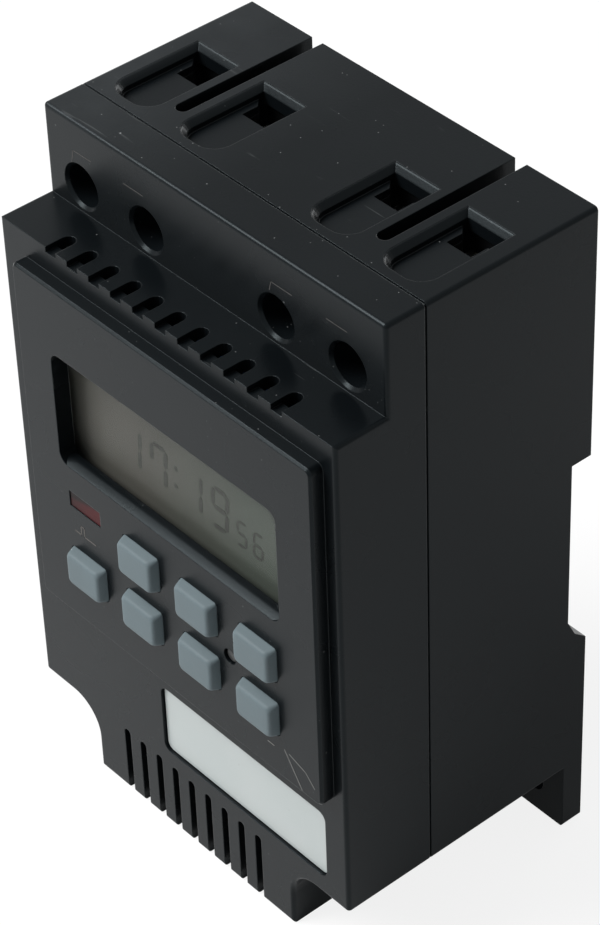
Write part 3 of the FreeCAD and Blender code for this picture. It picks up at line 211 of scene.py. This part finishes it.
def soft_edges(tree, radius):
    """A normal that rounds sharp edges, and a mask of where those edges are."""
    made = node(tree, "ShaderNodeBevel", samples=6)
    made.inputs["Radius"].default_value = radius
    plain = node(tree, "ShaderNodeNewGeometry")
    along = node(tree, "ShaderNodeVectorMath", operation="DOT_PRODUCT")
    tree.links.new(made.outputs["Normal"], along.inputs[0])
    tree.links.new(plain.outputs["Normal"], along.inputs[1])
    return made.outputs["Normal"], remap(tree, along.outputs["Value"], 0.80, 0.98, 1.0, 0.0)


def coords(tree):
    return node(tree, "ShaderNodeTexCoord").outputs["Object"]


def specks(tree, at, cell, size, keep):
    """Sparse round dust specks: a mask from a cell pattern, kept only in a few cells."""
    cells = node(tree, "ShaderNodeTexVoronoi")
    cells.inputs["Scale"].default_value = cell
    tree.links.new(at, cells.inputs["Vector"])
    near = remap(tree, cells.outputs["Distance"], size * 0.5, size, 1.0, 0.0)
    split = node(tree, "ShaderNodeSeparateColor")
    tree.links.new(cells.outputs["Color"], split.inputs["Color"])
    kept = maths(tree, "LESS_THAN", split.outputs["Red"], keep)
    return maths(tree, "MULTIPLY", near, kept)


def scratches(tree, at):
    """A mask of sparse fine scratches: thin streaks of stretched noise, kept only in patches."""
    turn = node(tree, "ShaderNodeMapping")
    turn.inputs["Rotation"].default_value = (0.5, 0.9, 0.35)
    turn.inputs["Scale"].default_value = (9.0, 130.0, 130.0)
    tree.links.new(at, turn.inputs["Vector"])
    streak = remap(tree, noise(tree, turn.outputs["Vector"], 9.0, 2.0), 0.69, 0.73, 0.0, 1.0)
    patch = remap(tree, noise(tree, at, 55.0, 2.0), 0.52, 0.62, 0.0, 1.0)
    return maths(tree, "MULTIPLY", streak, patch)


def facing_up(tree, low, high):
    """One on faces that look up, falling to low on upright ones."""
    shape = node(tree, "ShaderNodeNewGeometry")
    split = node(tree, "ShaderNodeSeparateXYZ")
    tree.links.new(shape.outputs["Normal"], split.inputs["Vector"])
    return remap(tree, split.outputs["Z"], 0.3, 0.9, low, high)


def painted_light_film(tree, at):
    """A painted pool of light on the top face, stronger towards its left end."""
    split = node(tree, "ShaderNodeSeparateXYZ")
    tree.links.new(at, split.inputs["Vector"])
    left = remap(tree, split.outputs["X"], -0.040, -0.004, 1.0, 0.0)
    on_top = remap(tree, split.outputs["Z"], PAINTED_LIGHT_LOW_Z, PAINTED_LIGHT_HIGH_Z, 0.0, 1.0)
    cloud = remap(tree, noise(tree, at, 90.0, 5.0), 0.3, 0.7, 0.5, 1.0)
    return maths(tree, "MULTIPLY", maths(tree, "MULTIPLY", left, on_top), cloud)


def black_plastic(name, base=(0.0024, 0.0032, 0.0038), roughness=0.27, dust=0.45):
    """Satin moulded plastic with softened edges, slow sheen changes, grain, dust and scratches, a
    painted pool of light on the top face and painted highlights with wear along the edges.
    """
    mat, tree, shader = new_material(name)
    at = coords(tree)
    slow = noise(tree, at, 38.0, 3.0)
    tint = remap(tree, slow, 0.3, 0.7, 0.0, 1.0)
    body = mix_colour(tree, tint, base, tuple(c * 1.25 for c in base))
    # Painted light: the top face lightened towards its left end, in a pale blue grey
    painted_light = maths(tree, "MULTIPLY", painted_light_film(tree, at), 0.24)
    body_with_painted_light = mix_colour(tree, painted_light, body, (0.060, 0.066, 0.070))
    soft, edge = soft_edges(tree, EDGE_RADIUS)
    # Painted highlight with edge wear: sharp edges lightened towards a pale grey
    wear_and_painted_highlight = mix_colour(tree, maths(tree, "MULTIPLY", edge, 0.4), body_with_painted_light, (0.030, 0.033, 0.034))
    marked = maths(tree, "MULTIPLY", scratches(tree, at), facing_up(tree, 0.0, dust * 0.3))
    scratched = mix_colour(tree, marked, wear_and_painted_highlight, (0.16, 0.17, 0.17))
    coarse = specks(tree, at, 420.0, 0.085, 0.07)
    small = specks(tree, at, 1150.0, 0.15, 0.07)
    both = maths(tree, "MAXIMUM", coarse, maths(tree, "MULTIPLY", small, 0.7))
    mask = maths(tree, "MULTIPLY", maths(tree, "MULTIPLY", both, facing_up(tree, 0.35, 1.0)), dust)
    colour = mix_colour(tree, mask, scratched, (0.32, 0.33, 0.33))
    tree.links.new(colour, shader.inputs["Base Color"])
    fine = noise(tree, at, 2600.0, 2.0, 0.6)
    rough = remap(tree, slow, 0.25, 0.75, roughness - 0.03, roughness + 0.05)
    tree.links.new(rough, shader.inputs["Roughness"])
    shader.inputs["IOR"].default_value = 1.5
    shader.inputs["Specular IOR Level"].default_value = PLASTIC_SHEEN
    shader.inputs["Specular Tint"].default_value = (0.81, 0.95, 1.0, 1.0)
    bump(tree, shader, fine, 0.2, 0.00005, soft)
    return mat


def rubber(name, base):
    mat, tree, shader = new_material(name)
    at = coords(tree)
    slow = noise(tree, at, 180.0, 3.0)
    tint = remap(tree, slow, 0.3, 0.7, 0.0, 1.0)
    body = mix_colour(tree, tint, base, tuple(c * 1.12 for c in base))
    mask = maths(tree, "MULTIPLY", specks(tree, at, 600.0, 0.12, 0.03), 0.35)
    tree.links.new(mix_colour(tree, mask, body, (0.45, 0.46, 0.46)), shader.inputs["Base Color"])
    tree.links.new(remap(tree, slow, 0.25, 0.75, 0.57, 0.68), shader.inputs["Roughness"])
    shader.inputs["Specular IOR Level"].default_value = 0.25
    bump(tree, shader, noise(tree, at, 1500.0, 3.0, 0.6), 0.3, 0.00008)
    return mat


def plain_plastic(name, base, roughness=0.4):
    mat, tree, shader = new_material(name)
    at = coords(tree)
    slow = noise(tree, at, 120.0, 3.0)
    tint = remap(tree, slow, 0.3, 0.7, 0.0, 1.0)
    body = mix_colour(tree, tint, base, tuple(c * 1.1 for c in base))
    tree.links.new(body, shader.inputs["Base Color"])
    rough = remap(tree, slow, 0.25, 0.75, roughness - 0.05, roughness + 0.05)
    tree.links.new(rough, shader.inputs["Roughness"])
    bump(tree, shader, noise(tree, at, 900.0, 2.0), 0.15, 0.00005)
    return mat


def metal(name, base, roughness=0.32):
    mat, tree, shader = new_material(name)
    at = coords(tree)
    stretch = node(tree, "ShaderNodeMapping")
    stretch.inputs["Scale"].default_value = (1.0, 14.0, 1.0)
    tree.links.new(at, stretch.inputs["Vector"])
    lines = noise(tree, stretch.outputs["Vector"], 500.0, 4.0)
    tint = remap(tree, lines, 0.3, 0.7, 0.0, 1.0)
    body = mix_colour(tree, tint, base, tuple(c * 0.82 for c in base))
    tree.links.new(body, shader.inputs["Base Color"])
    shader.inputs["Metallic"].default_value = 1.0
    rough = remap(tree, lines, 0.2, 0.8, roughness - 0.08, roughness + 0.1)
    tree.links.new(rough, shader.inputs["Roughness"])
    bump(tree, shader, lines, 0.1, 0.00004)
    return mat


def clear_pane(name):
    """A thin clear pane: nearly see-through, with a faint hazy gloss."""
    mat, tree, shader = new_material(name)
    at = coords(tree)
    haze = noise(tree, at, 60.0, 4.0)
    shader.inputs["Base Color"].default_value = (0.020, 0.022, 0.020, 1.0)
    shader.inputs["IOR"].default_value = 1.46
    shader.inputs["Alpha"].default_value = 0.08
    tree.links.new(remap(tree, haze, 0.3, 0.7, 0.04, 0.12), shader.inputs["Roughness"])
    return mat


def lcd_surface(name):
    """Matt display glass, warm grey towards its left end and greener towards its right."""
    mat, tree, shader = new_material(name)
    at = coords(tree)
    split = node(tree, "ShaderNodeSeparateXYZ")
    tree.links.new(at, split.inputs["Vector"])
    along = remap(tree, split.outputs["X"], -0.010, 0.016, 0.0, 1.0)
    body = mix_colour(tree, along, (0.076, 0.074, 0.064), (0.066, 0.078, 0.065))
    cloud = remap(tree, noise(tree, at, 70.0, 3.0), 0.3, 0.7, 0.0, 0.35)
    grey = mix_colour(tree, cloud, body, (0.064, 0.067, 0.058))
    tree.links.new(grey, shader.inputs["Base Color"])
    shader.inputs["Roughness"].default_value = 0.55
    shader.inputs["Specular IOR Level"].default_value = 0.15
    bump(tree, shader, noise(tree, at, 900.0, 2.0), 0.02, 0.00002)
    return mat


def lamp_lens(name):
    """Dull red lens, with painted shade along the top, where its slot shades it, and at the left
    end.
    """
    mat, tree, shader = new_material(name)
    at = coords(tree)
    split = node(tree, "ShaderNodeSeparateXYZ")
    tree.links.new(at, split.inputs["Vector"])
    # Painted shade: darker under the slot's top edge and towards the left end
    lift = maths(tree, "SUBTRACT", split.outputs["Z"],
                 maths(tree, "MULTIPLY", maths(tree, "ADD", split.outputs["X"], 0.02325), 0.20))
    under = remap(tree, lift, 0.0016, 0.0023, 1.0, 0.0)
    right = remap(tree, split.outputs["X"], -0.0236, -0.0195, 0.25, 1.0)
    cloud = remap(tree, noise(tree, at, 500.0, 3.0), 0.3, 0.7, 0.75, 1.0)
    lit = maths(tree, "MULTIPLY", maths(tree, "MULTIPLY", under, right), cloud)
    red = mix_colour(tree, lit, (0.008, 0.005, 0.005), (0.042, 0.004, 0.005))
    tree.links.new(red, shader.inputs["Base Color"])
    shader.inputs["Roughness"].default_value = 0.35
    shader.inputs["Specular IOR Level"].default_value = 0.06
    return mat


def ink(name, base, roughness=0.6):
    mat, tree, shader = new_material(name)
    at = coords(tree)
    wear_and_painted_highlight = remap(tree, noise(tree, at, 900.0, 4.0), 0.35, 0.75, 0.0, 0.6)
    faded = mix_colour(tree, wear_and_painted_highlight, base, tuple(c * 0.45 for c in base))
    tree.links.new(faded, shader.inputs["Base Color"])
    shader.inputs["Roughness"].default_value = roughness
    shader.inputs["Specular IOR Level"].default_value = 0.15
    return mat


def label_sheet(name):
    mat, tree, shader = new_material(name)
    at = coords(tree)
    slow = remap(tree, noise(tree, at, 60.0, 4.0), 0.3, 0.7, 0.0, 1.0)
    body = mix_colour(tree, slow, (0.30, 0.33, 0.325), (0.33, 0.355, 0.35))
    mask = maths(tree, "MULTIPLY", specks(tree, at, 500.0, 0.10, 0.05), 0.5)
    tree.links.new(mix_colour(tree, mask, body, (0.20, 0.21, 0.21)), shader.inputs["Base Color"])
    tree.links.new(remap(tree, slow, 0.0, 1.0, 0.35, 0.45), shader.inputs["Roughness"])
    bump(tree, shader, noise(tree, at, 500.0, 3.0), 0.08, 0.00005)
    return mat


KEY_MATERIAL = rubber("key_rubber", (0.079, 0.103, 0.112))


# Geometry helpers
def link_mesh(name, bm, mat, body="case"):
    mesh = bpy.data.meshes.new(name)
    bm.normal_update()
    bm.to_mesh(mesh)
    bm.free()
    obj = bpy.data.objects.new(name, mesh)
    bpy.context.scene.collection.objects.link(obj)
    mesh.materials.append(mat)
    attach(obj, body)
    return obj


def bridge(bm, first, second):
    """Side faces between two rings of the same number of corners."""
    for i in range(len(first)):
        j = (i + 1) % len(first)
        bm.faces.new((first[i], second[i], second[j], first[j]))


def mark_sharp(bm):
    for edge in bm.edges:
        if len(edge.link_faces) == 2 and edge.calc_face_angle(0.0) > SHARP_ANGLE:
            edge.smooth = False


def add_prism(bm, outline, y0, y1):
    """A closed prism from an X-Z outline in millimetres, from y0 (front) to y1."""
    front = [bm.verts.new((x * MM, y0 * MM, z * MM)) for x, z in outline]
    rear = [bm.verts.new((x * MM, y1 * MM, z * MM)) for x, z in outline]
    bm.faces.new(front)
    bm.faces.new(list(reversed(rear)))
    bridge(bm, front, rear)


def stroke(bm, points, width, y0, y1):
    """A printed line through the points, with round ends and joints."""
    half = width / 2
    for (xa, za), (xb, zb) in zip(points, points[1:]):
        turn = math.atan2(zb - za, xb - xa)
        outline = []
        for step in range(7):
            a = turn - math.pi / 2 + math.pi * step / 6
            outline.append((xb + half * math.cos(a), zb + half * math.sin(a)))
        for step in range(7):
            a = turn + math.pi / 2 + math.pi * step / 6
            outline.append((xa + half * math.cos(a), za + half * math.sin(a)))
        add_prism(bm, outline, y0, y1)


# The display's figures: their bars, and width, height and bar thickness in millimetres
SEGMENTS = {"1": "bc", "5": "afgcd", "6": "afgedc", "7": "abcf", "9": "abcdfg"}
LARGE_FIGURE = (3.35, 7.6, 0.95)
SMALL_FIGURE = (2.0, 4.7, 0.55)
LARGE_FIGURE_Z = 13.2
SMALL_FIGURE_Z = 12.9
FIGURE_LEAN = 0.08
FIGURE_GAP = 0.01
FIGURE_THICKNESS = 0.03
COLON_RADIUS = 0.5


def digit(bm, char, x, z, figure, y0, y1):
    """One seven-segment figure whose lower left corner is at x, z."""
    width, height, bar = figure
    h = height / 2
    b = bar / 2
    gap = bar * 0.16
    ends = {"a": ((0, 2 * h), (width, 2 * h)), "g": ((0, h), (width, h)),
            "d": ((0, 0), (width, 0)), "f": ((0, h), (0, 2 * h)),
            "b": ((width, h), (width, 2 * h)), "e": ((0, 0), (0, h)),
            "c": ((width, 0), (width, h))}
    for key in SEGMENTS[char]:
        (xa, za), (xb, zb) = ends[key]
        if za == zb:
            shape = [(xa + gap, za), (xa + gap + b, za - b), (xb - gap - b, za - b),
                     (xb - gap, za), (xb - gap - b, za + b), (xa + gap + b, za + b)]
        else:
            shape = [(xa, za + gap), (xa + b, za + gap + b), (xa + b, zb - gap - b),
                     (xa, zb - gap), (xa - b, zb - gap - b), (xa - b, za + gap + b)]
        add_prism(bm, [(x + px + FIGURE_LEAN * pz, z + pz) for px, pz in shape], y0, y1)


TERMINAL_MARK_Z = 58.1


def print_mark(name, ink_name, colour, y1, lines):
    """One printed sign on the plane at y1: each line is a width and its points in millimetres."""
    bm = bmesh.new()
    for width, points in lines:
        stroke(bm, points, width, y1 - INK_THICKNESS, y1)
    link_mesh(name, bm, ink(ink_name, colour))


def make_marks():
    """Faint printed lines: terminal brackets, and a pulse and a contact sign on the panel."""
    z = TERMINAL_MARK_Z
    print_mark("terminal_marks", "terminal_ink", (0.050, 0.048, 0.046), TERMINAL_Y, [
        (0.16, [(-32.2, z - 2.4), (-31.8, z - 0.1), (-27.4, z)]),
        (0.16, [(-19.6, z), (-15.1, z)]),
        (0.16, [(13.6, z - 1.6), (14.0, z), (18.5, z)]),
        (0.16, [(26.0, z), (30.3, z)])])
    print_mark("pulse_mark", "pulse_ink", (0.085, 0.078, 0.072), PANEL_Y, [
        (0.22, [(-22.6, -4.4), (-21.0, -4.4), (-21.0, -2.6), (-20.2, -2.6), (-20.2, -4.4),
                (-17.4, -4.4)])])
    print_mark("contact_mark", "contact_ink", (0.125, 0.125, 0.120), PANEL_Y, [
        (0.24, [(27.5, -17.1), (31.3, -22.9)]),
        (0.20, [(28.6, -17.3), (32.3, -18.5), (34.3, -20.6)]),
        (0.20, [(23.6, -17.9), (25.0, -17.9)])])


def make_digits():
    """The shown time, in dim seven-segment figures just in front of the display glass."""
    bm = bmesh.new()
    y1 = LCD_Y - FIGURE_GAP
    y0 = y1 - FIGURE_THICKNESS
    for char, x in (("1", -13.4), ("7", -7.2), ("1", 1.15), ("9", 7.3)):
        digit(bm, char, x, LARGE_FIGURE_Z, LARGE_FIGURE, y0, y1)
    for x, z in ((-1.2, 15.2), (-0.95, 18.8)):
        add_prism(bm, [(x + COLON_RADIUS * math.cos(a * math.pi / 6),
                        z + COLON_RADIUS * math.sin(a * math.pi / 6)) for a in range(12)], y0, y1)
    for char, x in (("5", 13.1), ("6", 16.9)):
        digit(bm, char, x, SMALL_FIGURE_Z, SMALL_FIGURE, y0, y1)
    link_mesh("lcd_digits", bm, ink("lcd_ink", (0.046, 0.049, 0.043), 0.55))


# Moulded rubber keys in place of the plain solids
KEY_WIDTH = 8.5
KEY_HEIGHT = 6.7
KEY_FLANGE = 0.9
KEY_FLANGE_THICKNESS = 1.2
KEY_STEM_WIDTH = 4.6
KEY_STEM_HEIGHT = 3.2
KEY_FLANGE_CORNER = 1.2
KEY_INNER_CORNER = 0.4
KEY_FLANGE_Y = -48.5
KEY_CORNER_STEPS = 6
# The cap's section from its front backwards: depth, how far it is drawn in, and corner radius
KEY_PROFILE = (
    (0.0, 2.2, 0.6), (0.0, 1.0, 0.7), (0.02, 0.74, 0.8), (0.08, 0.54, 0.85), (0.20, 0.38, 0.9),
    (0.38, 0.27, 0.9), (0.60, 0.20, 0.85), (1.70, 0.03, 0.45), (1.85, 0.0, 0.4))


def key_ring(width, height, corner):
    """Points of a rounded rectangle."""
    points = []
    for sx, sz, start in ((1, 1, 0.0), (-1, 1, 0.5), (-1, -1, 1.0), (1, -1, 1.5)):
        cx = sx * (width / 2 - corner)
        cz = sz * (height / 2 - corner)
        for i in range(KEY_CORNER_STEPS + 1):
            a = math.pi * (start + 0.5 * i / KEY_CORNER_STEPS)
            points.append((cx + corner * math.cos(a), cz + corner * math.sin(a)))
    return points


def make_key(name):
    low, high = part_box(name)
    mid_x = (low.x + high.x) / 2 / MM
    mid_z = (low.z + high.z) / 2 / MM
    front = low.y / MM
    rear = high.y / MM
    rings = [(front + depth, KEY_WIDTH - 2 * inset, KEY_HEIGHT - 2 * inset, corner)
             for depth, inset, corner in KEY_PROFILE]
    wide = KEY_WIDTH + 2 * KEY_FLANGE
    tall = KEY_HEIGHT + 2 * KEY_FLANGE
    flange_end = KEY_FLANGE_Y + KEY_FLANGE_THICKNESS
    rings += [(KEY_FLANGE_Y, KEY_WIDTH, KEY_HEIGHT, KEY_INNER_CORNER),
              (KEY_FLANGE_Y, wide, tall, KEY_FLANGE_CORNER),
              (flange_end, wide, tall, KEY_FLANGE_CORNER),
              (flange_end, KEY_STEM_WIDTH, KEY_STEM_HEIGHT, KEY_INNER_CORNER),
              (rear, KEY_STEM_WIDTH, KEY_STEM_HEIGHT, KEY_INNER_CORNER)]
    bm = bmesh.new()
    last = None
    for y, width, height, corner in rings:
        ring = [bm.verts.new(((mid_x + x) * MM, y * MM, (mid_z + z) * MM))
                for x, z in key_ring(width, height, corner)]
        if last is None:
            bm.faces.new(ring)
        else:
            bridge(bm, last, ring)
        last = ring
    bm.faces.new(list(reversed(last)))
    bmesh.ops.recalc_face_normals(bm, faces=bm.faces)
    for face in bm.faces:
        face.smooth = True
    mark_sharp(bm)
    body = body_of(nodes[name])[0]
    key = link_mesh(name + "_cap", bm, KEY_MATERIAL, body)
    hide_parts(name)


# Softened rims of the case's openings, in front of the plain walls
POCKET_XS = (-30.3, -14.8, 14.8, 30.3)
POCKET_HALF = 4.875
POCKET_FRONT_Y = -29.25
POCKET_REAR_Y = -10.85
POCKET_TOP_Z = 63.6
POCKET_ROUND = 3.6
WIRE_FRONT_Y = -17.3
WIRE_TURN_Y = -14.2
WIRE_HALF = 2.55
LIP = 0.95
LIP_LAP = 0.05
LIP_FLOOR_DROP = 2.0
LIP_END_DROP = 3.2
# The rim's section: how far it stands into the pocket, and height against the top face
RIM_PROFILE = (
    (0.01, -LIP_END_DROP), (0.01, -0.02), (0.25, -0.22), (LIP - 0.1, -0.98), (LIP, -1.12),
    (LIP, -LIP_END_DROP))


def pocket_ring(x, inset):
    """Plan of a wire pocket, moved inwards: round at the front and square at the rear."""
    half = POCKET_HALF - inset
    corner = POCKET_ROUND - inset
    points = [(x - half, POCKET_REAR_Y - inset)]
    for side, start in ((-1, math.pi), (1, 1.5 * math.pi)):
        for i in range(9):
            a = start + 0.5 * math.pi * i / 8
            points.append((x + side * (half - corner) + corner * math.cos(a),
                           POCKET_FRONT_Y + inset + corner + corner * math.sin(a)))
    points.append((x + half, POCKET_REAR_Y - inset))
    return points


def make_pocket_lips(mat):
    """A bevelled rim round each wire pocket and the pocket's floor, which ends at the wire hole."""
    bm = bmesh.new()
    for x in POCKET_XS:
        rings = [[bm.verts.new((px * MM, py * MM, (POCKET_TOP_Z + z) * MM))
                  for px, py in pocket_ring(x, inset)]
                 for inset, z in RIM_PROFILE]
        count = len(rings[0])
        for lower, upper in zip(rings, rings[1:] + rings[:1]):
            for i in range(count):
                j = (i + 1) % count
                bm.faces.new((lower[i], lower[j], upper[j], upper[i]))
        plan = pocket_ring(x, LIP - LIP_LAP)
        half = POCKET_HALF - LIP + LIP_LAP
        flare_y = WIRE_TURN_Y + POCKET_HALF - WIRE_HALF
        plan[0] = (x - half, flare_y - POCKET_HALF + half)
        plan[-1] = (x + half, flare_y - POCKET_HALF + half)
        plan += [(x + WIRE_HALF, WIRE_TURN_Y), (x + WIRE_HALF, WIRE_FRONT_Y),
                 (x - WIRE_HALF, WIRE_FRONT_Y), (x - WIRE_HALF, WIRE_TURN_Y)]
        top, low = ([bm.verts.new((px * MM, py * MM, (POCKET_TOP_Z - drop) * MM))
                     for px, py in plan] for drop in (LIP_FLOOR_DROP, LIP_END_DROP))
        bm.faces.new(top)
        bm.faces.new(list(reversed(low)))
        bridge(bm, top, low)
    bmesh.ops.recalc_face_normals(bm, faces=bm.faces)
    link_mesh("pocket_lips", bm, mat)


SILL_Z = 8.5
SILL_ENDS_X = (-24.7, 27.4)
SILL_PROFILE = (
    (-51.05, -0.3), (-51.05, 0.0), (-50.90, 0.08), (-49.90, 0.56), (-49.50, 0.70),
    (-49.05, 0.76), (-48.55, 0.76), (-48.55, -0.3))


def make_sill(mat):
    """The rounded bevel along the lower edge of the display's recess."""
    bm = bmesh.new()
    ends = [[bm.verts.new((x * MM, y * MM, (SILL_Z + z) * MM)) for y, z in SILL_PROFILE]
            for x in SILL_ENDS_X]
    bm.faces.new(ends[0])
    bm.faces.new(list(reversed(ends[1])))
    bridge(bm, ends[0], ends[1])
    bmesh.ops.recalc_face_normals(bm, faces=bm.faces)
    for face in bm.faces:
        face.smooth = len(face.verts) == 4
    mark_sharp(bm)
    link_mesh("window_sill", bm, mat)


# The clip's spring as a wound wire
SPRING_LOW_Z = -44.8
SPRING_HIGH_Z = -27.6
SPRING_COIL = 1.15
SPRING_WIRE = 0.25
SPRING_TURNS = 12
SPRING_TURN_STEPS = 14
SPRING_WIRE_SIDES = 7


def make_spring(mat):
    """A coil whose first and last turns lie closed, and the turns between them spread."""
    bm = bmesh.new()
    low = SPRING_LOW_Z + SPRING_WIRE
    span = SPRING_HIGH_Z - SPRING_LOW_Z - 2 * SPRING_WIRE
    last = None
    for i in range(SPRING_TURNS * SPRING_TURN_STEPS + 1):
        turn = i / SPRING_TURN_STEPS
        share = min(max((turn - 1) / (SPRING_TURNS - 2), 0.0), 1.0)
        closed = 2 * SPRING_WIRE * (min(turn, 1.0) + max(turn - SPRING_TURNS + 1, 0.0))
        z = low + closed + (span - 4 * SPRING_WIRE) * share
        a = math.tau * turn
        ring = []
        for k in range(SPRING_WIRE_SIDES):
            b = math.tau * k / SPRING_WIRE_SIDES
            r = SPRING_COIL + SPRING_WIRE * math.cos(b)
            ring.append(bm.verts.new((r * math.cos(a) * MM, r * math.sin(a) * MM,
                                      (z + SPRING_WIRE * math.sin(b)) * MM)))
        if last is None:
            bm.faces.new(list(reversed(ring)))
        else:
            for k in range(SPRING_WIRE_SIDES):
                j = (k + 1) % SPRING_WIRE_SIDES
                bm.faces.new((last[k], last[j], ring[j], ring[k]))
        last = ring
    bm.faces.new(last)
    bmesh.ops.recalc_face_normals(bm, faces=bm.faces)
    for face in bm.faces:
        face.smooth = len(face.verts) == 4
    spring = link_mesh("clip_coil", bm, mat)
    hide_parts("clip_spring")
    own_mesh(spring)


# Finishes of the CAD nodes
def paint():
    case = black_plastic("case_plastic")
    block = black_plastic("block_plastic", (0.0046, 0.0050, 0.0054), 0.40, 0.15)
    clip = black_plastic("clip_plastic", (0.0090, 0.0096, 0.0100), 0.4, 0.2)
    steel = metal("zinc_steel", (0.58, 0.58, 0.57))
    brass = metal("tinned_brass", (0.70, 0.58, 0.34))
    finishes = {
        "front_cover": case, "rear_housing": case, "rail_clip": clip,
        "terminal_block_left": block, "terminal_block_right": block,
        "display_window": clear_pane("window_pane"), "lcd_glass": lcd_surface("lcd_surface"),
        "lcd_holder": plain_plastic("holder_plastic", (0.62, 0.62, 0.60)),
        "zebra_strips": rubber("zebra_rubber", (0.12, 0.12, 0.12)),
        "reset_button": plain_plastic("reset_plastic", (0.02, 0.02, 0.02), 0.4),
        "status_led": lamp_lens("lamp_lens"),
        "label_plate": label_sheet("label_sheet"),
        "keypad_mat": rubber("mat_rubber", (0.25, 0.28, 0.29)),
        "control_board": plain_plastic("board_lacquer", (0.02, 0.10, 0.05), 0.3),
        "power_board": plain_plastic("power_lacquer", (0.02, 0.10, 0.05), 0.3),
        "controller_chip": plain_plastic("chip_body", (0.02, 0.02, 0.022), 0.5),
        "clock_crystal": metal("crystal_can", (0.66, 0.66, 0.66), 0.25),
        "relay": plain_plastic("relay_case", (0.02, 0.07, 0.24), 0.3),
        "dropper_capacitor": plain_plastic("film_epoxy", (0.32, 0.06, 0.03), 0.25),
        "smoothing_capacitor": plain_plastic("can_sleeve", (0.02, 0.025, 0.08), 0.25),
        "backup_cell": metal("cell_can", (0.62, 0.62, 0.62), 0.3),
        "board_cable": plain_plastic("cable_sheath", (0.42, 0.42, 0.42), 0.5),
        "board_screws": steel, "case_screws": steel, "clip_spring": steel,
    }
    for name, obj in nodes.items():
        if name.startswith("key_"):
            mat = KEY_MATERIAL
        elif name.startswith("contact_bar"):
            mat = brass
        elif name.startswith("cage_clamp") or name.startswith("terminal_screw"):
            mat = steel
        else:
            mat = finishes[name]
        obj.data.materials.clear()
        obj.data.materials.append(mat)
    make_pocket_lips(case)
    make_sill(case)
    make_spring(steel)


# Room
def shown_rays(tree, seen, mirrored):
    """How much of the white background a ray meets: seen straight or through glass, or mirrored."""
    path = node(tree, "ShaderNodeLightPath")
    straight = maths(tree, "MAXIMUM", path.outputs["Is Camera Ray"],
                     path.outputs["Is Transmission Ray"])
    return maths(tree, "MAXIMUM", maths(tree, "MULTIPLY", straight, seen),
                 maths(tree, "MULTIPLY", path.outputs["Is Glossy Ray"], mirrored))


FLOOR_DROP = 0.00005
FLOOR_RADII = (0.25, 0.6, 1.2)
FLOOR_SIDES = 48


def make_floor():
    bm = bmesh.new()
    z = cad_box[0].z - FLOOR_DROP
    centre = bm.verts.new((0.0, 0.0, z))
    last = None
    for radius in FLOOR_RADII:
        ring = [bm.verts.new((radius * math.cos(math.tau * i / FLOOR_SIDES),
                              radius * math.sin(math.tau * i / FLOOR_SIDES), z))
                for i in range(FLOOR_SIDES)]
        if last is None:
            for i in range(FLOOR_SIDES):
                bm.faces.new((centre, ring[i], ring[(i + 1) % FLOOR_SIDES]))
        else:
            bridge(bm, last, ring)
        last = ring
    mesh = bpy.data.meshes.new("floor")
    bm.to_mesh(mesh)
    bm.free()
    obj = bpy.data.objects.new("floor", mesh)
    bpy.context.scene.collection.objects.link(obj)
    mat = bpy.data.materials.new("floor_white")
    mat.use_nodes = True
    tree = mat.node_tree
    tree.nodes.clear()
    out = node(tree, "ShaderNodeOutputMaterial")
    pick = node(tree, "ShaderNodeMixShader")
    matte = node(tree, "ShaderNodeBsdfDiffuse")
    matte.inputs["Color"].default_value = (0.80, 0.80, 0.80, 1.0)
    glow = node(tree, "ShaderNodeEmission")
    glow.inputs["Color"].default_value = (1.0, 1.0, 1.0, 1.0)
    tree.links.new(shown_rays(tree, FLOOR_SEEN_GLOW, FLOOR_MIRRORED_GLOW), pick.inputs["Fac"])
    tree.links.new(matte.outputs["BSDF"], pick.inputs[1])
    tree.links.new(glow.outputs["Emission"], pick.inputs[2])
    tree.links.new(pick.outputs["Shader"], out.inputs["Surface"])
    mesh.materials.append(mat)


def area_light(name, place, target, size, power):
    data = bpy.data.lights.new(name, "AREA")
    data.shape = "RECTANGLE"
    data.size = size
    data.size_y = size
    data.energy = power
    obj = bpy.data.objects.new(name, data)
    bpy.context.scene.collection.objects.link(obj)
    obj.location = place
    obj.rotation_mode = "QUATERNION"
    obj.rotation_quaternion = (Vector(target) - Vector(place)).to_track_quat("-Z", "Y")


def make_light():
    world = bpy.data.worlds.new("studio")
    bpy.context.scene.world = world
    world.use_nodes = True
    tree = world.node_tree
    tree.nodes.clear()
    out = node(tree, "ShaderNodeOutputWorld")
    pick = node(tree, "ShaderNodeMixShader")
    room = node(tree, "ShaderNodeBackground")
    room.inputs["Color"].default_value = (0.94, 0.97, 1.0, 1.0)
    room.inputs["Strength"].default_value = 0.30
    white = node(tree, "ShaderNodeBackground")
    white.inputs["Color"].default_value = (1.0, 1.0, 1.0, 1.0)
    white.inputs["Strength"].default_value = 1.0
    tree.links.new(shown_rays(tree, ROOM_SEEN_GLOW, ROOM_MIRRORED_GLOW), pick.inputs["Fac"])
    tree.links.new(room.outputs["Background"], pick.inputs[1])
    tree.links.new(white.outputs["Background"], pick.inputs[2])
    tree.links.new(pick.outputs["Shader"], out.inputs["Surface"])
    area_light("key_light", (-0.50, -0.62, 0.90), (0.0, 0.0, 0.0), 0.7, 27.0)
    area_light("back_card", (-0.20, 1.00, 0.12), (0.0, 0.0, 0.05), 0.6, 6.0)
    area_light("left_card", (-0.70, 0.26, 0.42), (-0.03, 0.0, 0.06), 0.25, 0.15)


make_camera()
paint()
make_marks()
make_digits()
for key_name in sorted(name for name in nodes if name.startswith("key_")):
    make_key(key_name)
make_floor()
make_light()
bpy.context.scene.view_settings.view_transform = "Standard"
